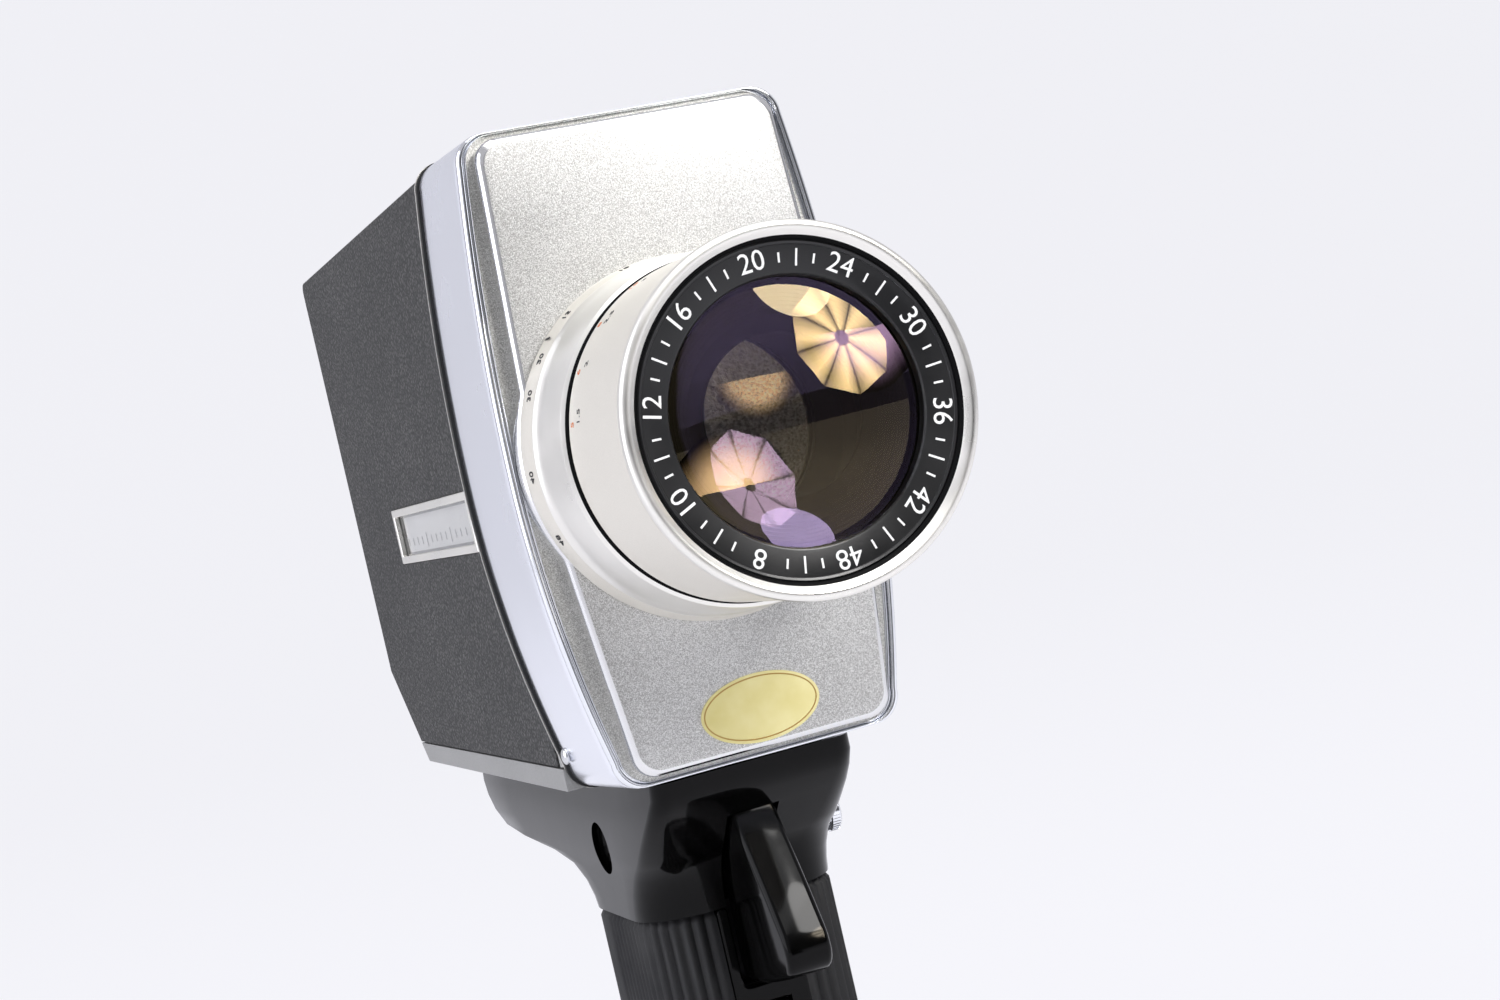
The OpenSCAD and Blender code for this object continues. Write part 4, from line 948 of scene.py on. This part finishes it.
def trigger_bezel():
    lo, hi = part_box("trigger_bezel")
    lock_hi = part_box("run_lock")[1]
    z_gap = 66.9 * MM
    out = [(lo.x, lo.z), (hi.x, lo.z), (hi.x, hi.z), (4.95 * MM, hi.z), (4.95 * MM, z_gap), (-4.95 * MM, z_gap),
           (-4.95 * MM, hi.z), (lo.x, hi.z)]
    bm = prism(rounded(out, 1.2 * MM, 3), "y", lo.y, hi.y)
    piece = object_of(bm, "trigger_bezel_gloss", GLOSS_BLACK, "camera", ("trigger_bezel",), 40)
    w = lock_hi.x + 0.25 * MM
    cut(piece, prism([(-w, 47.4 * MM), (w, 47.4 * MM), (w, lock_hi.z + 0.3 * MM), (-w, lock_hi.z + 0.3 * MM)], "y",
                     -30 * MM, -10 * MM), "lock")
    rounded_edges(piece, 0.45 * MM)


trigger_bezel()


def run_lock():
    """Rounded catch below the trigger: a wedge with a raised, crowned thumb bar."""
    lo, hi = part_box("run_lock")
    side = [(hi.y, lo.z), (hi.y, hi.z), (lo.y + 2.2 * MM, hi.z), (lo.y + 0.6 * MM, hi.z - 0.8 * MM),
            (lo.y, hi.z - 3.0 * MM), (lo.y + 0.7 * MM, hi.z - 5.4 * MM), (lo.y + 2.1 * MM, hi.z - 6.6 * MM),
            (lo.y + 2.3 * MM, lo.z)]
    bm = prism(rounded(side, 1.4 * MM, 4), "x", lo.x, hi.x)
    bevel_across(bm, 0.7 * MM, 3)
    object_of(bm, "trigger_catch_gloss", GLOSS_BLACK, "lock", ("run_lock",), 40)


run_lock()

# ---- CAD parts that keep their own shape ----

KEPT = {
    CASTING: ("side_cover", "film_door", "finder_column"),
    SEAL_BLACK: ("circuit_board",),
    CHANNEL_BLAST: ("front_panel",),
    INNER_METAL: ("front_frame", "film_gate", "pulldown_claw", "door_latch", "drive_motor", "exposure_meter"),
    BAFFLE_BLACK: ("iris_housing", "aperture_vane", "relay_lens_tube", "shutter_disc", "finder_tube"),
    LENS_BLACK: ("lens_tube", "variator_cell", "compensator_cell"),
    TURNED_BRIGHT: ("zoom_lever",),
    BRASS: ("motor_pinion",),
    SCREW_STEEL: ("door_hinge_pin", "screws", "trigger_pin", "tripod_bush", "takeup_spindle"),
    CARD_WHITE: ("window_card", "counter_dial"),
    CLEAR_GLASS: ("window_glass", "eyepiece_glass"),
    PRISM_GLASS: ("reflex_prism",),
    CELL_JACKET: ("battery_cells",),
}
for material, names in KEPT.items():
    for node_name in names:
        NODES[node_name].data.materials.clear()
        NODES[node_name].data.materials.append(material)
NODES["circuit_board"].data.materials[0] = BOARD_BROWN
for node_object in NODES.values():
    if not node_object.hide_render and not node_object.data.materials:
        node_object.data.materials.append(INNER_METAL)

# ---- floor, light and camera ----


def seen_straight(tree):
    """1 for what the camera sees, plainly or through glass, and 0 for what is lit or mirrored by a surface."""
    path = add(tree, "ShaderNodeLightPath").outputs
    plain = calc(tree, "LESS_THAN", path["Glossy Depth"], 0.5)
    still = calc(tree, "LESS_THAN", path["Diffuse Depth"], 0.5)
    glass = calc(tree, "MULTIPLY", path["Is Transmission Ray"], calc(tree, "MULTIPLY", plain, still))
    return path, calc(tree, "MAXIMUM", path["Is Camera Ray"], glass)


def stage_material():
    """Pale paper: a light lavender white to the camera and through glass, dimmer in gloss, with a soft shadow."""
    mat = bpy.data.materials.new("pale_paper")
    mat.use_nodes = True
    tree = mat.node_tree
    shader = tree.nodes["Principled BSDF"]
    shader.inputs["Base Color"].default_value = linear("#ededf3")
    shader.inputs["Roughness"].default_value = 0.9
    path, seen = seen_straight(tree)
    mirrored = calc(tree, "MULTIPLY", path["Is Glossy Ray"], 0.5)
    seen = calc(tree, "MULTIPLY_ADD", seen, 0.9, mirrored)
    glow = add(tree, "ShaderNodeEmission", {"Color": linear("#f6f6fb"), "Strength": 1.0}).outputs["Emission"]
    mix = add(tree, "ShaderNodeMixShader", {}, {"Fac": seen, 1: shader.outputs["BSDF"], 2: glow})
    tree.links.new(mix.outputs[0], tree.nodes["Material Output"].inputs["Surface"])
    return mat


def sweep():
    """Floor that curves up into a backdrop far behind the object."""
    bm = bmesh.new()
    side, near, far, height, bend = 8.0, -3.0, 3.0, 5.0, 1.5
    points = [(near, 0.0)] + [(far - bend + bend * math.sin(a), bend - bend * math.cos(a)) for a in
                              (math.radians(90 * i / 12) for i in range(13))] + [(far, height)]
    verts = [bm.verts.new((-side, y, z - 0.0002)) for y, z in points]
    edges = [bm.edges.new(pair) for pair in zip(verts, verts[1:])]
    made = bmesh.ops.extrude_edge_only(bm, edges=edges)
    bmesh.ops.translate(bm, vec=(2 * side, 0, 0), verts=[v for v in made["geom"] if isinstance(v, bmesh.types.BMVert)])
    mesh = mesh_of(bm, "paper_sweep")
    floor = placed("paper_sweep", mesh)
    mesh.materials.append(stage_material())
    for p in mesh.polygons:
        p.use_smooth = True


sweep()


def area(name, place, aim, size, power, colour="#ffffff", shape="RECTANGLE", size_y=None):
    light = bpy.data.lights.new(name, "AREA")
    light.energy, light.size, light.shape, light.color = power, size, shape, linear(colour)[:3]
    if size_y:
        light.size_y = size_y
    lamp = placed(name, light)
    lamp.location = place
    lamp.rotation_euler = (Vector(aim) - Vector(place)).to_track_quat("-Z", "Y").to_euler()
    return lamp


MIDDLE = (0, 0, 0.15)
area("overhead_soft", (0.2, -0.45, 1.1), MIDDLE, 1.0, 6.5, size_y=1.0)
area("left_soft", (-1.0, 0.0, 0.55), MIDDLE, 1.2, 9.0, "#f6f7ff", size_y=1.1)
area("right_key", (0.36, -0.62, 0.60), (0, -0.05, 0.21), 0.3, 3.6, "#fffdfb", "DISK")


def reflector(name, place, aim, radius, colour, strength, gores, seen_by):
    """A studio umbrella, seen only as a reflection in the pieces of one collection: bright gores, dark ribs and hub.
    With no gores it is a soft card that fades towards its edge."""
    bm = bmesh.new()
    bmesh.ops.create_circle(bm, cap_ends=True, segments=gores or 32, radius=radius)
    mesh = mesh_of(bm, name)
    card = placed(name, mesh)
    card.location = place
    card.rotation_euler = (Vector(aim) - Vector(place)).to_track_quat("Z", "Y").to_euler()
    mat = bpy.data.materials.new(name + "_cloth")
    mat.use_nodes = True
    tree = mat.node_tree
    tree.nodes.remove(tree.nodes["Principled BSDF"])
    where = add(tree, "ShaderNodeTexCoord").outputs["Object"]
    unit = add(tree, "ShaderNodeMapping", {"Scale": (1 / radius,) * 3}, {"Vector": where}).outputs["Vector"]
    centre = add(tree, "ShaderNodeTexGradient", {"gradient_type": "SPHERICAL"}, {"Vector": unit}).outputs["Fac"]
    if gores:
        turn = add(tree, "ShaderNodeTexGradient", {"gradient_type": "RADIAL"}, {"Vector": unit}).outputs["Fac"]
        turn = calc(tree, "FRACT", calc(tree, "MULTIPLY", turn, gores))
        cloth = ramp(tree, turn, [(0.0, 0.05), (0.07, 0.45), (0.35, 1.0), (0.6, 0.75), (0.92, 0.35), (1.0, 0.05)])
        hub = ramp(tree, centre, [(0.0, 0.8), (0.5, 1.0), (0.84, 1.0), (0.88, 0.01)])
    else:
        cloth = ramp(tree, centre, [(0.0, 0.0), (0.5, 0.7), (1.0, 1.0)])
        hub = cloth
    level = calc(tree, "MULTIPLY", calc(tree, "MULTIPLY", cloth, hub), strength)
    glow = add(tree, "ShaderNodeEmission", {"Color": linear(colour)}, {"Strength": level}).outputs["Emission"]
    tree.links.new(glow, tree.nodes["Material Output"].inputs["Surface"])
    mesh.materials.append(mat)
    card.visible_camera = card.visible_diffuse = card.visible_shadow = False
    card.light_linking.receiver_collection = seen_by


glasses, glossy = (bpy.data.collections.new(n) for n in ("lens_glasses", "glass_and_gloss"))
for piece in GLASS:
    glasses.objects.link(piece)
for piece in GLASS + [o for o in bpy.data.objects if o.type == "MESH" and GLOSS_BLACK.name in o.data.materials]:
    glossy.objects.link(piece)
LENS_AT = Vector((0, -0.09, AXIS_Z))
reflector("umbrella_right", LENS_AT + Vector((0.616, -0.741, 0.267)) * 0.9, LENS_AT, 0.23, "#fff0d8", 27, 8, glossy)
reflector("card_low_left", LENS_AT + Vector((-0.034, -0.953, -0.27)) * 0.6, LENS_AT, 0.17, "#ffe6d6", 26, 0, glasses)

world = bpy.data.worlds.new("studio_air")
bpy.context.scene.world = world
world.use_nodes = True
tree = world.node_tree
path, seen = seen_straight(tree)
# the unlit room in front of the lens, low and to the right, as metal and gloss reflect it
where = add(tree, "ShaderNodeTexCoord").outputs["Generated"]
facing = add(tree, "ShaderNodeVectorMath", {"operation": "DOT_PRODUCT", 1: (0.36, -0.90, -0.22)},
             {0: where}).outputs["Value"]
room = add(tree, "ShaderNodeMapRange", {"From Min": 0.45, "From Max": 0.9, "To Min": 0.62, "To Max": 0.12,
                                        "interpolation_type": "SMOOTHSTEP"}, {"Value": facing}).outputs["Result"]
strength = add(tree, "ShaderNodeMix", {"data_type": "FLOAT", 3: 1.0}, {0: seen, 2: room}).outputs[0]
tree.nodes["Background"].inputs["Color"].default_value = linear("#f1f1f8")
tree.links.new(strength, tree.nodes["Background"].inputs["Strength"])

# the camera's place, the way it looks, its upward side and its angle of view across the picture
VIEW_AT = (-0.1292, -0.4250, 0.1610)
VIEW_ALONG = (0.3409, 0.9399, -0.0209)
VIEW_UP = (0.2174, -0.0572, 0.9744)
VIEW_ANGLE = 35.33
lens_data = bpy.data.cameras.new("view")
lens_data.sensor_width = 36
lens_data.lens = 18 / math.tan(math.radians(VIEW_ANGLE / 2))
lens_data.clip_start, lens_data.clip_end = 0.01, 50
camera = placed("view", lens_data)
look = Vector(VIEW_ALONG).normalized()
up = Vector(VIEW_UP)
right = look.cross(up).normalized()
up = right.cross(look).normalized()
pose = Matrix((right, up, -look)).transposed().to_4x4()
pose.translation = VIEW_AT
camera.matrix_world = pose
bpy.context.scene.camera = camera
bpy.context.scene.view_settings.view_transform = "Standard"
